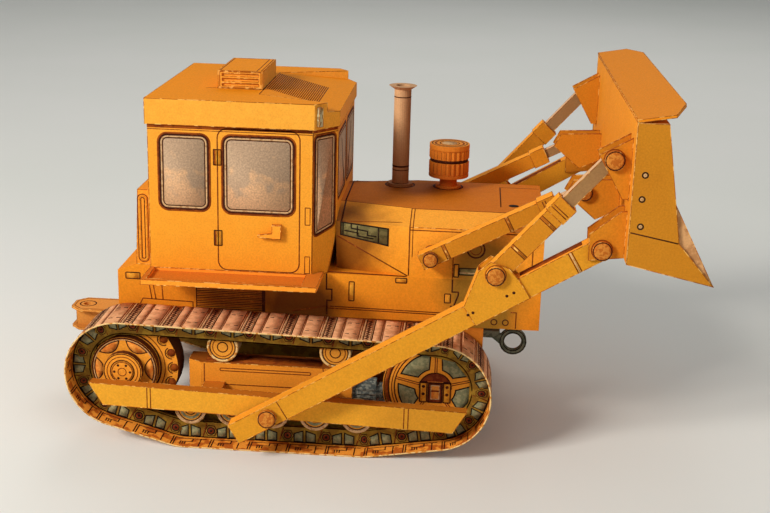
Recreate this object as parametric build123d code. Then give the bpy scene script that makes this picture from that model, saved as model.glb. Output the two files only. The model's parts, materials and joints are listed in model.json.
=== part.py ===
from build123d import *
import math
import os

# A card model of a crawler dozer. Millimetres, +Z up, +X towards the blade, +Y to the machine's left.
# Every piece is laid out with x = 0 midway between the wheels of the track and z = 0 on the ground.
# FRAME_SHIFT then moves the whole model so that its origin is under the middle of its outline.

# ---- card ----
CARD = 0.5               # one folded and glued sheet
BOARD = 0.8              # laminated board of plates and link rings
SEAT = 0.05              # glue line left between two curved pieces
RUN = 0.3                # gap between pieces that move past each other
PIN_FIT = 0.06           # radial clearance of a pin in its hole
DISC_SIZES = (3.0, 8.0)  # radius below which a card disc is small, and below which it is middling
DISC_SIDES = (16, 20, 36)
POST_SIDES = 24          # upright rolls of card

# ---- tracks ----
CHASSIS_HALF = 26.8       # half width of the chassis
TRACK_GAP = 0.8          # chassis side to the inner edge of the band
TRACK_WIDTH = 17.4
TRACK_INNER = CHASSIS_HALF + TRACK_GAP
TRACK_OUTER = TRACK_INNER + TRACK_WIDTH
REAR_WHEEL = (-45.2, 21.4)
FRONT_WHEEL = (44.9, 19.5)
WHEEL_WRAP = 16.2        # outside of the band round either wheel
GROUND_ROLL = 12.0       # outside of the band where it turns up off the ground
GROUND_REAR = -27.5
GROUND_FRONT = 24.5
SHOE_PITCH = 11.3
SHOE_JOINT = 0.45        # width and depth of the scored line between two shoes
SHOE_JOINT_DEPTH = 0.15
RING_DEPTH = 5.3         # height of the link plates
RING_INSET = 6.4         # outer ring to the edge of the band
INNER_RING_INSET = 0.3
LINK_HEAD_RADIUS = 1.9   # across the corners of the six-sided pin heads
LINK_HEAD_PROUD = 0.2
LINK_HEAD_DEPTH = 2.9    # pin centres below the face of the band
RING_FACE = TRACK_OUTER - RING_INSET
RING_BACK = RING_FACE - BOARD
INNER_RING_FACE = TRACK_INNER + INNER_RING_INSET + BOARD

# ---- wheels and rollers ----
DRUM_CLEAR = 0.8         # outer ring to the face of the wheel drums
DRUM_FACE = RING_BACK - DRUM_CLEAR
DRUM_BACK = INNER_RING_FACE + RUN
DRUM_RADIUS = 15.2
SPROCKET_TEETH = 19
TOOTH_GAP_RADIUS = 1.55
TOOTH_GAP_SIDES = 6
TOOTH_GAP_DEPTH = 0.3
TOOTH_GAP_INSET = 1.2    # centres of the tooth gaps inside the rim
WHEEL_DISC_PROUD = 2.6
SPROCKET_HUB_RADIUS = 5.7
SPROCKET_HUB_PROUD = 2.2
BOLT_DISC_RADIUS = 3.2
BOLT_DISC_PROUD = 0.3
AXLE_RADIUS = 4.0
ROLLER_WIDTH = 6.5
CARRIER_RADIUS = 4.6
CARRIER_PLACES = (-16.8, 15.9)
TRACK_ROLLER_RADIUS = 4.6
TRACK_ROLLER_WIDTH = 4.2
TRACK_ROLLER_PROUD = 3.0       # faces of the track rollers outside the outer ring
TRACK_ROLLER_PITCH = 12.1
TRACK_ROLLER_FIRST = -25.6
TRACK_ROLLER_COUNT = 5
RAIL_TOP = CARD + RING_DEPTH   # the rollers run on the link plates

# ---- track frame and outer beam ----
FRAME_REAR = -27.0
FRAME_FRONT = 21.0
FRAME_BOTTOM = RAIL_TOP + RUN + 2 * TRACK_ROLLER_RADIUS + SEAT
FRAME_TOP = 24.2
FRAME_INSET = 0.6              # outer face of the frame behind the outer ring
FRAME_DEPTH = 8.0
FRAME_BEVEL = (4.0, 2.4)
FRAME_OUTER = RING_FACE - FRAME_INSET
STAY_LENGTH = 6.0
STAY_INSET = 8.0               # stays of the outer beam from the ends of the frame
STAY_HEIGHT = 3.0
FRAME_LINK = (6.0, 3.0)        # length and height of the bar from the frame to the chassis
ADJUSTER_RADIUS = 3.6
ADJUSTER_FLUTES = 16
FLUTE_DEPTH = 0.45
ADJUSTER_Z = 16.6
YOKE_RADIUS = 2.4
YOKE_LENGTH = 1.9
BEAM_GAP = 1.3                 # bolt disc of the sprocket to the outer beam
BEAM_INNER = DRUM_FACE + WHEEL_DISC_PROUD + SPROCKET_HUB_PROUD + BOLT_DISC_PROUD + BEAM_GAP
BEAM_DEPTH = 3.4
BEAM_REAR = (-53.8, 19.6)      # upper corners of the beam
BEAM_FRONT = (54.3, 16.6)
BEAM_HEIGHT = 6.6
BEAM_END_SLANT = 3.9

# ---- hull ----
CHASSIS_REAR = -50.0
DRIVE_FRONT = -41.0      # front of the drive housing between the sprockets
DRIVE_BOTTOM = 15.0
BELLY = 28.0
NOSE_REAR = 13.0         # rear of the deep box between the idlers
NOSE_BOTTOM = 13.0
CHASSIS_FRONT = 58.0
HULL_PROUD = 0.4
HULL_HALF = CHASSIS_HALF + HULL_PROUD
HULL_BOTTOM = 35.0
HULL_REAR = -49.7
HULL_FRONT = 74.0
DECK = 49.5              # floor line of the cab
REAR_SHELF = 47.4
HOOD_SHOULDER = 64.5
HOOD_TOP = 67.4
HOOD_TOP_HALF = 17.5
HOOD_WAIST = 35.6        # where the narrowing rear part of the hood begins
HOOD_REAR_HALF = 12.0    # half width of the hood top at the cab
HOOD_REAR_INSET = 2.5    # how far the shoulder leans in at the cab
HOOD_FOOT_INSET = 3.2    # and the foot below the fold
HOOD_FOLD = 60.6
TANK_REAR = -44.0
TANK_TOP = 72.0
TANK_LEAN = 0.8

# ---- cab ----
CAB_REAR = -38.6
CAB_HALF = 32.0
CAB_CORNER = 8.0         # where the front corners begin to slant
CAB_FRONT = 14.2
CAB_FRONT_HALF = 24.0
CAB_WALL_TOP = 92.3
CAB_KNEE = 61.7          # the front leans back below this height
CAB_KNEE_SETBACK = 2.2
ROOF_TOP = 99.6
ROOF_LIP = 0.6
ROOF_RAMP_START = -9.0
ROOF_RAMP_START_HALF = 20.0
ROOF_RAMP_END_HALF = 30.0
ROOF_RAMP_DROP = 3.0
VENT_REAR = -22.3
VENT_FRONT = -9.2
VENT_HALF = 12.5
VENT_HEIGHT = 5.2
VENT_SLOTS = 3
VENT_FRAME = 1.2
SLOT_SHARE = 0.55        # open share of each louvre's pitch
LAMP_SIZE = (1.6, 5.4)
LAMP_DEPTH = 1.0
LAMP_FROM_CORNER = 1.6
TRAY_OUTER = 44.2
TRAY_FRONT = 10.9
TRAY_THICK = 1.5
TRAY_RISE = 1.0          # tray edge above the floor line
TRAY_NOSE = (3.2, 3.0)   # how far the tray's front corner follows the cab's
TRAY_RIM = 1.4
TRAY_DEPTH = 0.9
HANDLE_AT = (-0.6, 63.2)
HANDLE_LENGTH = 6.6
HANDLE_PROUD = 1.5
LEVER_THICK = 0.7
LEVER_DEPTH = 1.6        # lever below the boss
LEVER_TIP = 0.6
HANDLE_BOSS = (2.6, 2.4)

# ---- stacks on the hood ----
STACK_SIDE = 11.0
EXHAUST_AT = 30.3
EXHAUST_RADIUS = 2.6
EXHAUST_TOP = 98.6
EXHAUST_LIP_RADIUS = 4.3
EXHAUST_LIP_HEIGHT = 1.1
EXHAUST_FOOT_RADIUS = 3.9
EXHAUST_BORE_DEPTH = 6.0
CLEANER_AT = 45.3
CLEANER_RADIUS = 6.2
CLEANER_NECK_RADIUS = 2.7
CLEANER_BOTTOM = 71.0
CLEANER_TOP = 81.2
CLEANER_PLEATS = 24
PLEAT_DEPTH = 0.4
PLEAT_ROWS = ((72.2, 75.8), (76.8, 79.4))     # lower and upper edge of each pleated row
CLEANER_CORE = 5.8
CLEANER_CAP = 1.5
CLEANER_RIM = 0.9
CLEANER_FLANGE = 3.9

# ---- drawbar and tow hook ----
DRAWBAR_END = -72.0
DRAWBAR_HALF = 5.6
DRAWBAR_TOP = 26.6
DRAWBAR_BOTTOM = 19.6
DRAWBAR_CORNER = 3.0
DRAWBAR_WEB = 2.8        # half width of the web
DRAWBAR_PIN_AT = -67.4
DRAWBAR_PIN_RADIUS = 1.5
TOW_AT = (67.8, 21.3)
TOW_OUTER_RADIUS = 4.3
TOW_HOLE_RADIUS = 2.7
TOW_THICK = 1.6
TOW_PLATE = (4.0, 2.2)   # half width and thickness of the plate over the eye
TOW_PLATE_RISE = 2.2
TOW_NECK = 8.0           # length of the neck that runs out into the eye

# ---- push arms ----
TRUNNION = (-1.2, 14.6)
ARM_ANGLE = 31.1         # at rest, up from level
ARM_STANDOFF = 1.2       # outer beam to the arm
ARM_INNER = BEAM_INNER + BEAM_DEPTH + ARM_STANDOFF
ARM_DEPTH = 4.8
ARM_HEIGHT = 6.2
ARM_TAIL = 11.4
ARM_REACH = 103.5        # trunnion to the blade pin
ARM_NOSE = 2.6
GUSSET_ALONG = 75.7      # brace pin, measured along the arm and square to it
GUSSET_UP = 6.9
GUSSET_FOOT = (11.8, 4.8)      # foot of the gusset behind and ahead of the brace pin
GUSSET_BROW = (-3.6, 3.1)      # corners of its rounded head, measured from the brace pin
GUSSET_CROWN = (0.6, 3.9)
GUSSET_CHEEK = (3.9, 0.2)
GUSSET_SLANT = 0.3             # lean of its edges across the arm
GUSSET_WEB = (7.2, 5.2)        # foot and peak of the wedge behind the brace barrel, back from the pin
PIN_RADIUS = 1.5
BOSS_EXTRA = 1.2
KNOB_RADIUS = 2.65
KNOB_THICK = 1.4

# ---- blade, measured from the blade pin ----
BLADE_HALF = 59.6
BLADE_BACK = 5.8
BLADE_TOP = 35.2
BLADE_HEEL = -1.9
BLADE_TOE = (28.6, -6.9)
BLADE_KNEE = (18.8, 4.3)
BLADE_FOLD = (17.1, 14.6)
BLADE_BROW = (13.7, BLADE_TOP)
END_PLATE = 1.0
EDGE_LAP = (8.0, 1.7)          # from the heel forward and down to the cutting edge's rear corner
GUARD_FRONT = 19.6
GUARD_CORNER = 9.6
GUARD_CORNER_HALF = 47.0
GUARD_RISE = 2.4
GUARD_OVERHANG = 0.1           # guard past the outer faces of the end plates
BRACE_PIN = (1.4, 24.3)
LIFT_EYE = (-3.9, 10.6)
BRACKET_PLATE = 0.6
BRACKET_CLEAR = 0.3
LIFT_STANDOFF = 1.8      # hull side to the lift barrel
SMALL_PIN_RADIUS = 1.05
SMALL_KNOB_RADIUS = 2.25
ARM_BRACKET = [(-3.4, -3.0), (BLADE_BACK, BLADE_HEEL), (BLADE_BACK, 10.8), (4.2, 10.6), (-3.6, 4.2)]
BRACE_BRACKET = [(-2.6, 25.4), (BLADE_BACK, 30.2), (BLADE_BACK, 14.0), (4.0, 14.0)]
LIFT_BRACKET = [(-9.0, 10.0), (-7.0, 14.0), (BLADE_BACK, 14.6), (BLADE_BACK, 6.0), (-0.6, 3.0)]

# ---- cylinders ----
LIFT_PIVOT = (42.0, 57.2)
LIFT_BARREL = (4.6, 4.4)       # height and depth of the square barrel
LIFT_ROD = (2.8, 2.6)
LIFT_BARREL_LENGTH = 38.5
LIFT_BORE_BOTTOM = 3.6
LIFT_ROD_START = 7.2
BRACE_BARREL = (5.4, 4.2)
BRACE_ROD = (3.8, 2.8)
BRACE_BARREL_LENGTH = 27.0
BRACE_BORE_BOTTOM = 6.0
BRACE_ROD_START = 9.0
BARREL_TAIL = 3.0
COLLAR_LENGTH = 5.0
COLLAR_PROUD = 0.35
COLLAR_SIDE_PROUD = 0.2
LIFT_SIDE = HULL_HALF + LIFT_STANDOFF + LIFT_BARREL[1] / 2
ARM_MIDDLE = ARM_INNER + ARM_DEPTH / 2
WIDE_GAP = ARM_DEPTH + 2 * BRACKET_CLEAR
BLADE_INSIDE = BLADE_HALF - END_PLATE

BLADE_REACH = TRUNNION[0] + ARM_REACH * math.cos(math.radians(ARM_ANGLE)) + BLADE_TOE[0]
FRAME_SHIFT = -(DRAWBAR_END + BLADE_REACH) / 2


# ---- helpers ----
def slab(outline, near, far):
    """A plate whose (x, z) outline runs from y = near to y = far."""
    face = make_face(Polyline([(x, near, z) for x, z in outline], close=True))
    return extrude(face, amount=far - near, dir=(0, 1, 0))


def deck_plate(outline, low, high):
    """A plate whose (x, y) outline runs from z = low to z = high."""
    face = make_face(Polyline([(x, y, low) for x, y in outline], close=True))
    return extrude(face, amount=high - low, dir=(0, 0, 1))


def block(x0, x1, y0, y1, z0, z1):
    return Pos((x0 + x1) / 2, (y0 + y1) / 2, (z0 + z1) / 2) * Box(x1 - x0, y1 - y0, z1 - z0)


def spindle(centre, radius, y0, y1):
    """A round bar along y."""
    return Pos(centre[0], (y0 + y1) / 2, centre[1]) * Rot(90, 0, 0) * Cylinder(radius, y1 - y0)


def cut_disc(centre, radius, y0, y1):
    """Stack of card discs about an axis along y, snipped to a many-sided outline."""
    sides = DISC_SIDES[sum(radius >= size for size in DISC_SIZES)]
    outline = extrude(RegularPolygon(radius, sides), amount=y1 - y0)
    return Pos(centre[0], y0, centre[1]) * Rot(-90, 0, 0) * outline


def post(x, y, radius, z0, z1):
    return Pos(x, y, (z0 + z1) / 2) * Cylinder(radius, z1 - z0)


def rolled_post(radius, z0, z1):
    """Upright roll of card about the z axis."""
    return Pos(0, 0, z0) * extrude(RegularPolygon(radius, POST_SIDES), amount=z1 - z0)


def faceted(corners, sides):
    """A closed body from named corners and the flat sides that join them."""
    outlines = [Polyline([corners[corner] for corner in side], close=True) for side in sides]
    return Solid(Shell([make_face(outline).face() for outline in outlines]))


def pleated_disc(pleats, outer, depth):
    """A round outline with straight pleats, as an (x, y) polygon."""
    turns = [math.pi * i / pleats for i in range(2 * pleats)]
    radii = [outer - depth * (i % 2) for i in range(2 * pleats)]
    return [(r * math.cos(t), r * math.sin(t)) for r, t in zip(radii, turns)]


def right_of(piece):
    """The same piece on the machine's other side."""
    return mirror(piece, about=Plane.XZ)


def polar(origin, angle, along, up=0.0):
    """A point reached by going along a line at the angle, then square to it."""
    turn = math.radians(angle)
    return (
        origin[0] + along * math.cos(turn) - up * math.sin(turn),
        origin[1] + along * math.sin(turn) + up * math.cos(turn),
    )


def placed(piece, origin, angle):
    """A piece drawn with its pin at x = z = 0 and its length along x, turned up and set on its pin."""
    return Pos(origin[0], 0, origin[1]) * Rot(0, -angle, 0) * piece


# ---- track loop ----
def loop_rolls(depth):
    """The four rounds that the loop is stretched over, anticlockwise, at a depth inside the band's face."""
    return [
        (REAR_WHEEL, WHEEL_WRAP - depth),
        ((GROUND_REAR, GROUND_ROLL), GROUND_ROLL - depth),
        ((GROUND_FRONT, GROUND_ROLL), GROUND_ROLL - depth),
        (FRONT_WHEEL, WHEEL_WRAP - depth),
    ]


def outward(first, second):
    """Outward direction of the straight run between two rounds, as an angle."""
    (c1, r1), (c2, r2) = first, second
    run = math.hypot(c2[0] - c1[0], c2[1] - c1[1])
    heading = math.atan2(c2[1] - c1[1], c2[0] - c1[0])
    return heading - math.acos((r1 - r2) / run)


def loop_face(depth):
    """The closed outline of the loop, as straight runs joined by tangent arcs."""
    rolls = loop_rolls(depth)
    count = len(rolls)
    edges = []
    for i in range(count):
        before, here, after = rolls[i - 1], rolls[i], rolls[(i + 1) % count]
        start = outward(before, here)
        end = outward(here, after)
        while end < start:
            end += 2 * math.pi
        (x, z), radius = here

        def on_roll(angle):
            return (x + radius * math.cos(angle), 0, z + radius * math.sin(angle))

        edges.append(ThreePointArc(on_roll(start), on_roll((start + end) / 2), on_roll(end)))
        (nx, nz), next_radius = after
        tip = (nx + next_radius * math.cos(end), 0, nz + next_radius * math.sin(end))
        edges.append(Line(on_roll(end), tip))
    return make_face(edges)


def loop_plate(outer_depth, inner_depth, y0, y1):
    """A ring that follows the loop between two depths."""
    outer = extrude(loop_face(outer_depth), amount=y1 - y0, dir=(0, 1, 0))
    inner = extrude(loop_face(inner_depth), amount=y1 - y0, dir=(0, 1, 0))
    return Pos(0, y0, 0) * (outer - inner)


def loop_stations(depth, start=0.0):
    """Evenly spaced shoe joints, carried in from the outside by a depth, each with the loop's direction.

    Start is the share of a shoe that the first place is moved along by.
    """
    wire = loop_face(0).face().outer_wire()
    count = round(wire.length / SHOE_PITCH)
    stations = []
    for i in range(count):
        share = ((i + start) / count) % 1
        point, along = wire @ share, wire % share
        inward = (REAR_WHEEL[0] / 2 + FRONT_WHEEL[0] / 2 - point.X, REAR_WHEEL[1] - point.Z)
        side = 1 if along.X * inward[1] - along.Z * inward[0] > 0 else -1
        x = point.X - side * depth * along.Z
        z = point.Z + side * depth * along.X
        stations.append((x, z, math.degrees(math.atan2(along.Z, along.X))))
    return stations


def track_band():
    """The belt of shoes, with a scored line between each shoe and the next."""
    band = loop_plate(0, CARD, TRACK_INNER, TRACK_OUTER)
    middle = (TRACK_INNER + TRACK_OUTER) / 2
    score = Box(SHOE_JOINT, TRACK_WIDTH + 2 * RUN, 2 * SHOE_JOINT_DEPTH)
    for x, z, angle in loop_stations(0):
        band -= Pos(x, middle, z) * Rot(0, -angle, 0) * score
    return band


def link_ring(y0, y1):
    """A ring of straight link plates: its inner edge has a corner at each joint."""
    corners = [(x, z) for x, z, angle in loop_stations(CARD + RING_DEPTH, 0.5)]
    filled = extrude(loop_face(CARD + SEAT), amount=y1 - y0, dir=(0, 1, 0))
    return Pos(0, y0, 0) * (filled - slab(corners, 0, y1 - y0))


def link_rings():
    """Outer and inner ring of link plates; the outer one shows the six-sided heads of its pins."""
    outer = link_ring(RING_BACK, RING_FACE)
    head = extrude(RegularPolygon(LINK_HEAD_RADIUS, 6), amount=LINK_HEAD_PROUD)
    for x, z, angle in loop_stations(LINK_HEAD_DEPTH):
        outer += Pos(x, RING_FACE, z) * Rot(0, -angle, 0) * Rot(-90, 0, 0) * head
    return Compound([outer, link_ring(INNER_RING_FACE - BOARD, INNER_RING_FACE)])


# ---- wheels ----
def ring_bore():
    """Radius of the circle that clears the corners of the link ring round a wheel."""
    half_link = SHOE_PITCH / WHEEL_WRAP / 2
    return (WHEEL_WRAP - CARD - RING_DEPTH) * math.cos(half_link) - SEAT


def sprocket():
    """Drum with tooth gaps round its face, a raised disc and hub in front, and its axle behind."""
    disc = DRUM_FACE + WHEEL_DISC_PROUD
    hub = disc + SPROCKET_HUB_PROUD
    wheel = cut_disc(REAR_WHEEL, DRUM_RADIUS, DRUM_BACK, DRUM_FACE)
    gap = extrude(RegularPolygon(TOOTH_GAP_RADIUS, TOOTH_GAP_SIDES), amount=TOOTH_GAP_DEPTH)
    for i in range(SPROCKET_TEETH):
        x, z = polar(REAR_WHEEL, 360 * i / SPROCKET_TEETH, DRUM_RADIUS - TOOTH_GAP_INSET)
        wheel -= Pos(x, DRUM_FACE, z) * Rot(90, 0, 0) * gap
    wheel += cut_disc(REAR_WHEEL, ring_bore(), DRUM_FACE, disc)
    wheel += cut_disc(REAR_WHEEL, SPROCKET_HUB_RADIUS, disc, hub)
    wheel += cut_disc(REAR_WHEEL, BOLT_DISC_RADIUS, hub, hub + BOLT_DISC_PROUD)
    return wheel + cut_disc(REAR_WHEEL, AXLE_RADIUS, CHASSIS_HALF, DRUM_BACK)


def idler():
    """Drum that carries the front of the loop, and its axle."""
    drum = cut_disc(FRONT_WHEEL, DRUM_RADIUS, DRUM_BACK, DRUM_FACE)
    return drum + cut_disc(FRONT_WHEEL, AXLE_RADIUS, CHASSIS_HALF, DRUM_BACK)


def rollers():
    """Two carrier rollers on the frame, and the track rollers between the frame and the rails."""
    face = RING_BACK - RUN
    height = FRAME_TOP + CARRIER_RADIUS + SEAT
    carriers = [cut_disc((x, height), CARRIER_RADIUS, face - ROLLER_WIDTH, face) for x in CARRIER_PLACES]
    face = RING_FACE + TRACK_ROLLER_PROUD
    back = face - TRACK_ROLLER_WIDTH
    height = RAIL_TOP + RUN + TRACK_ROLLER_RADIUS
    places = [TRACK_ROLLER_FIRST + i * TRACK_ROLLER_PITCH for i in range(TRACK_ROLLER_COUNT)]
    return Compound(carriers + [cut_disc((x, height), TRACK_ROLLER_RADIUS, back, face) for x in places])


def track_frame():
    """Box that carries the rollers, bevelled at its rear outer corner, and its bar to the chassis."""
    inner = FRAME_OUTER - FRAME_DEPTH
    plan = [
        (FRAME_REAR, inner),
        (FRAME_FRONT, inner),
        (FRAME_FRONT, FRAME_OUTER),
        (FRAME_REAR + FRAME_BEVEL[0], FRAME_OUTER),
        (FRAME_REAR, FRAME_OUTER - FRAME_BEVEL[1]),
    ]
    length, height = FRAME_LINK
    top = FRAME_BOTTOM + height
    link = block(FRAME_FRONT - length, FRAME_FRONT, CHASSIS_HALF, inner, FRAME_BOTTOM, top)
    return deck_plate(plan, FRAME_BOTTOM, FRAME_TOP) + link


def adjuster():
    """Fluted recoil spring tube ahead of the frame, and the yoke that meets the idler drum."""
    centre_y = FRAME_OUTER - FRAME_INSET - ADJUSTER_RADIUS
    drum_edge = FRONT_WHEEL[0] - math.sqrt(DRUM_RADIUS**2 - (FRONT_WHEEL[1] - ADJUSTER_Z) ** 2) - RUN
    end = drum_edge - YOKE_LENGTH
    section = make_face(Polyline(pleated_disc(ADJUSTER_FLUTES, ADJUSTER_RADIUS, FLUTE_DEPTH), close=True))
    tube = extrude(section, amount=end - FRAME_FRONT)
    yoke = Pos(0, 0, end - FRAME_FRONT + YOKE_LENGTH / 2) * Cylinder(YOKE_RADIUS, YOKE_LENGTH)
    return Pos(FRAME_FRONT, centre_y, ADJUSTER_Z) * Rot(0, 90, 0) * (tube + yoke)


def outer_beam():
    """Long slanted beam outside the wheels, its two stays and the push arm's trunnion."""
    outline = [
        BEAM_REAR,
        (BEAM_REAR[0] + BEAM_END_SLANT, BEAM_REAR[1] - BEAM_HEIGHT),
        (BEAM_FRONT[0] - BEAM_END_SLANT, BEAM_FRONT[1] - BEAM_HEIGHT),
        BEAM_FRONT,
    ]
    outer = BEAM_INNER + BEAM_DEPTH
    beam = slab(outline, BEAM_INNER, outer)
    stay_top = FRAME_BOTTOM + STAY_HEIGHT
    for x in (FRAME_REAR + STAY_INSET, FRAME_FRONT - STAY_INSET):
        near, far = x - STAY_LENGTH / 2, x + STAY_LENGTH / 2
        beam += block(near, far, FRAME_OUTER, BEAM_INNER, FRAME_BOTTOM, stay_top)
    arm_outer = ARM_INNER + ARM_DEPTH + RUN
    beam += cut_disc(TRUNNION, PIN_RADIUS + BOSS_EXTRA, outer, ARM_INNER - RUN)
    beam += spindle(TRUNNION, PIN_RADIUS, ARM_INNER - RUN, arm_outer)
    return beam + cut_disc(TRUNNION, KNOB_RADIUS, arm_outer, arm_outer + KNOB_THICK)


# ---- hull, hood and cab ----
def chassis():
    """Box under the hull, deep at the drive housing and at the nose, with a high belly between."""
    outline = [
        (CHASSIS_REAR, HULL_BOTTOM),
        (CHASSIS_REAR, DRIVE_BOTTOM),
        (DRIVE_FRONT, DRIVE_BOTTOM),
        (DRIVE_FRONT, BELLY),
        (NOSE_REAR, BELLY),
        (NOSE_REAR, NOSE_BOTTOM),
        (CHASSIS_FRONT, NOSE_BOTTOM),
        (CHASSIS_FRONT, HULL_BOTTOM),
    ]
    return slab(outline, -CHASSIS_HALF, CHASSIS_HALF)


def hull():
    """Closed lower body from the rear shelf to the radiator front."""
    outline = [
        (HULL_REAR, HULL_BOTTOM),
        (HULL_FRONT, HULL_BOTTOM),
        (HULL_FRONT, DECK),
        (TANK_REAR, DECK),
        (HULL_REAR, REAR_SHELF),
    ]
    return slab(outline, -HULL_HALF, HULL_HALF)


def hood():
    """Engine hood with sloping shoulders; its sides are folded and drawn in towards the cab."""
    corners = {}
    for side, sign in (("right", -1), ("left", 1)):
        rear_shoulder = HULL_HALF - HOOD_REAR_INSET
        corners.update({
            (side, "front foot"): (HULL_FRONT, sign * HULL_HALF, DECK),
            (side, "front shoulder"): (HULL_FRONT, sign * HULL_HALF, HOOD_SHOULDER),
            (side, "front top"): (HULL_FRONT, sign * HOOD_TOP_HALF, HOOD_TOP),
            (side, "waist foot"): (HOOD_WAIST, sign * HULL_HALF, DECK),
            (side, "waist shoulder"): (HOOD_WAIST, sign * HULL_HALF, HOOD_SHOULDER),
            (side, "waist top"): (HOOD_WAIST, sign * HOOD_TOP_HALF, HOOD_TOP),
            (side, "rear foot"): (CAB_FRONT, sign * (rear_shoulder - HOOD_FOOT_INSET), DECK),
            (side, "rear fold"): (CAB_FRONT, sign * rear_shoulder, HOOD_FOLD),
            (side, "rear shoulder"): (CAB_FRONT, sign * rear_shoulder, HOOD_SHOULDER),
            (side, "rear top"): (CAB_FRONT, sign * HOOD_REAR_HALF, HOOD_TOP),
        })
    one_side = [
        ("front foot", "front shoulder", "waist shoulder", "waist foot"),
        ("front shoulder", "front top", "waist top", "waist shoulder"),
        ("waist foot", "waist shoulder", "rear fold"),
        ("waist shoulder", "rear shoulder", "rear fold"),
        ("waist foot", "rear fold", "rear foot"),
        ("waist shoulder", "waist top", "rear top"),
        ("waist shoulder", "rear top", "rear shoulder"),
    ]
    sides = [[(side, name) for name in names] for names in one_side for side in ("right", "left")]
    front_ring = ("front foot", "front shoulder", "front top")
    rear_ring = ("rear foot", "rear fold", "rear shoulder", "rear top")
    for ring in (front_ring, rear_ring):
        sides.append([("right", name) for name in ring] + [("left", name) for name in reversed(ring)])
    for first, second in (("front", "waist"), ("waist", "rear")):
        for height in ("top", "foot"):
            right = [("right", f"{first} {height}"), ("right", f"{second} {height}")]
            sides.append(right + [("left", name) for _, name in reversed(right)])
    return faceted(corners, sides)


def rear_tank():
    outline = [(TANK_REAR, DECK), (CAB_REAR, DECK), (CAB_REAR, TANK_TOP), (TANK_REAR + TANK_LEAN, TANK_TOP)]
    return slab(outline, -HULL_HALF, HULL_HALF)


def cab_plan(lip):
    right_side = [
        (CAB_REAR - lip, -CAB_HALF - lip),
        (CAB_CORNER + lip, -CAB_HALF - lip),
        (CAB_FRONT + lip, -CAB_FRONT_HALF - lip),
    ]
    return right_side + [(x, -y) for x, y in reversed(right_side)]


def cab():
    """Closed cab with slanting front corners; its front leans back below the knee."""
    body = deck_plate(cab_plan(0), DECK, CAB_WALL_TOP)
    undercut = [
        (CAB_FRONT + 1, CAB_KNEE),
        (CAB_FRONT, CAB_KNEE),
        (CAB_FRONT - CAB_KNEE_SETBACK, DECK),
        (CAB_FRONT + 1, DECK),
    ]
    return body - slab(undercut, -HULL_HALF, HULL_HALF)


def cab_roof():
    """Roof with a deep fascia; its front part ramps down between the sides."""
    roof = deck_plate(cab_plan(ROOF_LIP), CAB_WALL_TOP, ROOF_TOP)
    end = CAB_FRONT + ROOF_LIP
    cut = [(ROOF_RAMP_START, ROOF_TOP), (end, ROOF_TOP - ROOF_RAMP_DROP), (end, ROOF_TOP)]
    ramp = slab(cut, -CAB_HALF, CAB_HALF)
    plan = [
        (ROOF_RAMP_START, -ROOF_RAMP_START_HALF),
        (end, -ROOF_RAMP_END_HALF),
        (end, ROOF_RAMP_END_HALF),
        (ROOF_RAMP_START, ROOF_RAMP_START_HALF),
    ]
    return roof - (ramp & deck_plate(plan, CAB_WALL_TOP, ROOF_TOP))


def roof_vent():
    """Ventilator box with louvre slots in both ends."""
    box = block(VENT_REAR, VENT_FRONT, -VENT_HALF, VENT_HALF, ROOF_TOP, ROOF_TOP + VENT_HEIGHT)
    pitch = (VENT_HEIGHT - 2 * CARD) / VENT_SLOTS
    slot = Box(VENT_FRONT - VENT_REAR - 2 * VENT_FRAME, 2 * CARD, pitch * SLOT_SHARE)
    for i in range(VENT_SLOTS):
        z = ROOF_TOP + CARD + pitch * (i + 0.5)
        for side in (-VENT_HALF, VENT_HALF):
            box -= Pos((VENT_REAR + VENT_FRONT) / 2, side, z) * slot
    return box


def roof_lamps():
    """One upright lamp on each slanting front corner of the fascia."""
    slant = math.atan2(CAB_HALF - CAB_FRONT_HALF, CAB_FRONT - CAB_CORNER)
    out = (math.sin(slant), math.cos(slant))
    reach = LAMP_DEPTH / 2
    x = CAB_CORNER + ROOF_LIP + LAMP_FROM_CORNER * math.cos(slant) + reach * out[0]
    y = CAB_HALF + ROOF_LIP - LAMP_FROM_CORNER * math.sin(slant) + reach * out[1]
    lamp = Box(LAMP_SIZE[0], LAMP_DEPTH, LAMP_SIZE[1])
    left = Pos(x, y, (CAB_WALL_TOP + ROOF_TOP) / 2) * Rot(0, 0, -math.degrees(slant)) * lamp
    return Compound([left, right_of(left)])


def step_tray():
    """Shallow tray along the foot of the cab wall."""
    top = DECK + TRAY_RISE
    plan = [
        (CAB_REAR, CAB_HALF),
        (CAB_REAR, TRAY_OUTER),
        (TRAY_FRONT, TRAY_OUTER),
        (CAB_CORNER + TRAY_NOSE[0], CAB_HALF - TRAY_NOSE[1]),
        (CAB_CORNER, CAB_HALF),
    ]
    tray = deck_plate(plan, top - TRAY_THICK, top)
    inside = (CAB_REAR + TRAY_RIM, CAB_CORNER - TRAY_RIM, CAB_HALF + CARD, TRAY_OUTER - TRAY_RIM)
    return tray - block(*inside, top - TRAY_DEPTH, top + TRAY_DEPTH)


def door_handles():
    """A folded lever on each door, set on a square boss."""
    x, z = HANDLE_AT
    foot = z - LEVER_DEPTH / 2
    boss = block(x - HANDLE_BOSS[0], x, CAB_HALF, CAB_HALF + HANDLE_PROUD, foot, foot + HANDLE_BOSS[1])
    lever = [
        (x - HANDLE_LENGTH, foot - LEVER_TIP),
        (x - HANDLE_LENGTH, foot - 2 * LEVER_TIP),
        (x - HANDLE_BOSS[0], foot - LEVER_DEPTH),
        (x, foot - LEVER_DEPTH),
        (x, foot),
        (x - HANDLE_BOSS[0], foot),
    ]
    one = boss + slab(lever, CAB_HALF + HANDLE_PROUD - LEVER_THICK, CAB_HALF + HANDLE_PROUD)
    return Compound([one, right_of(one)])


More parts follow.
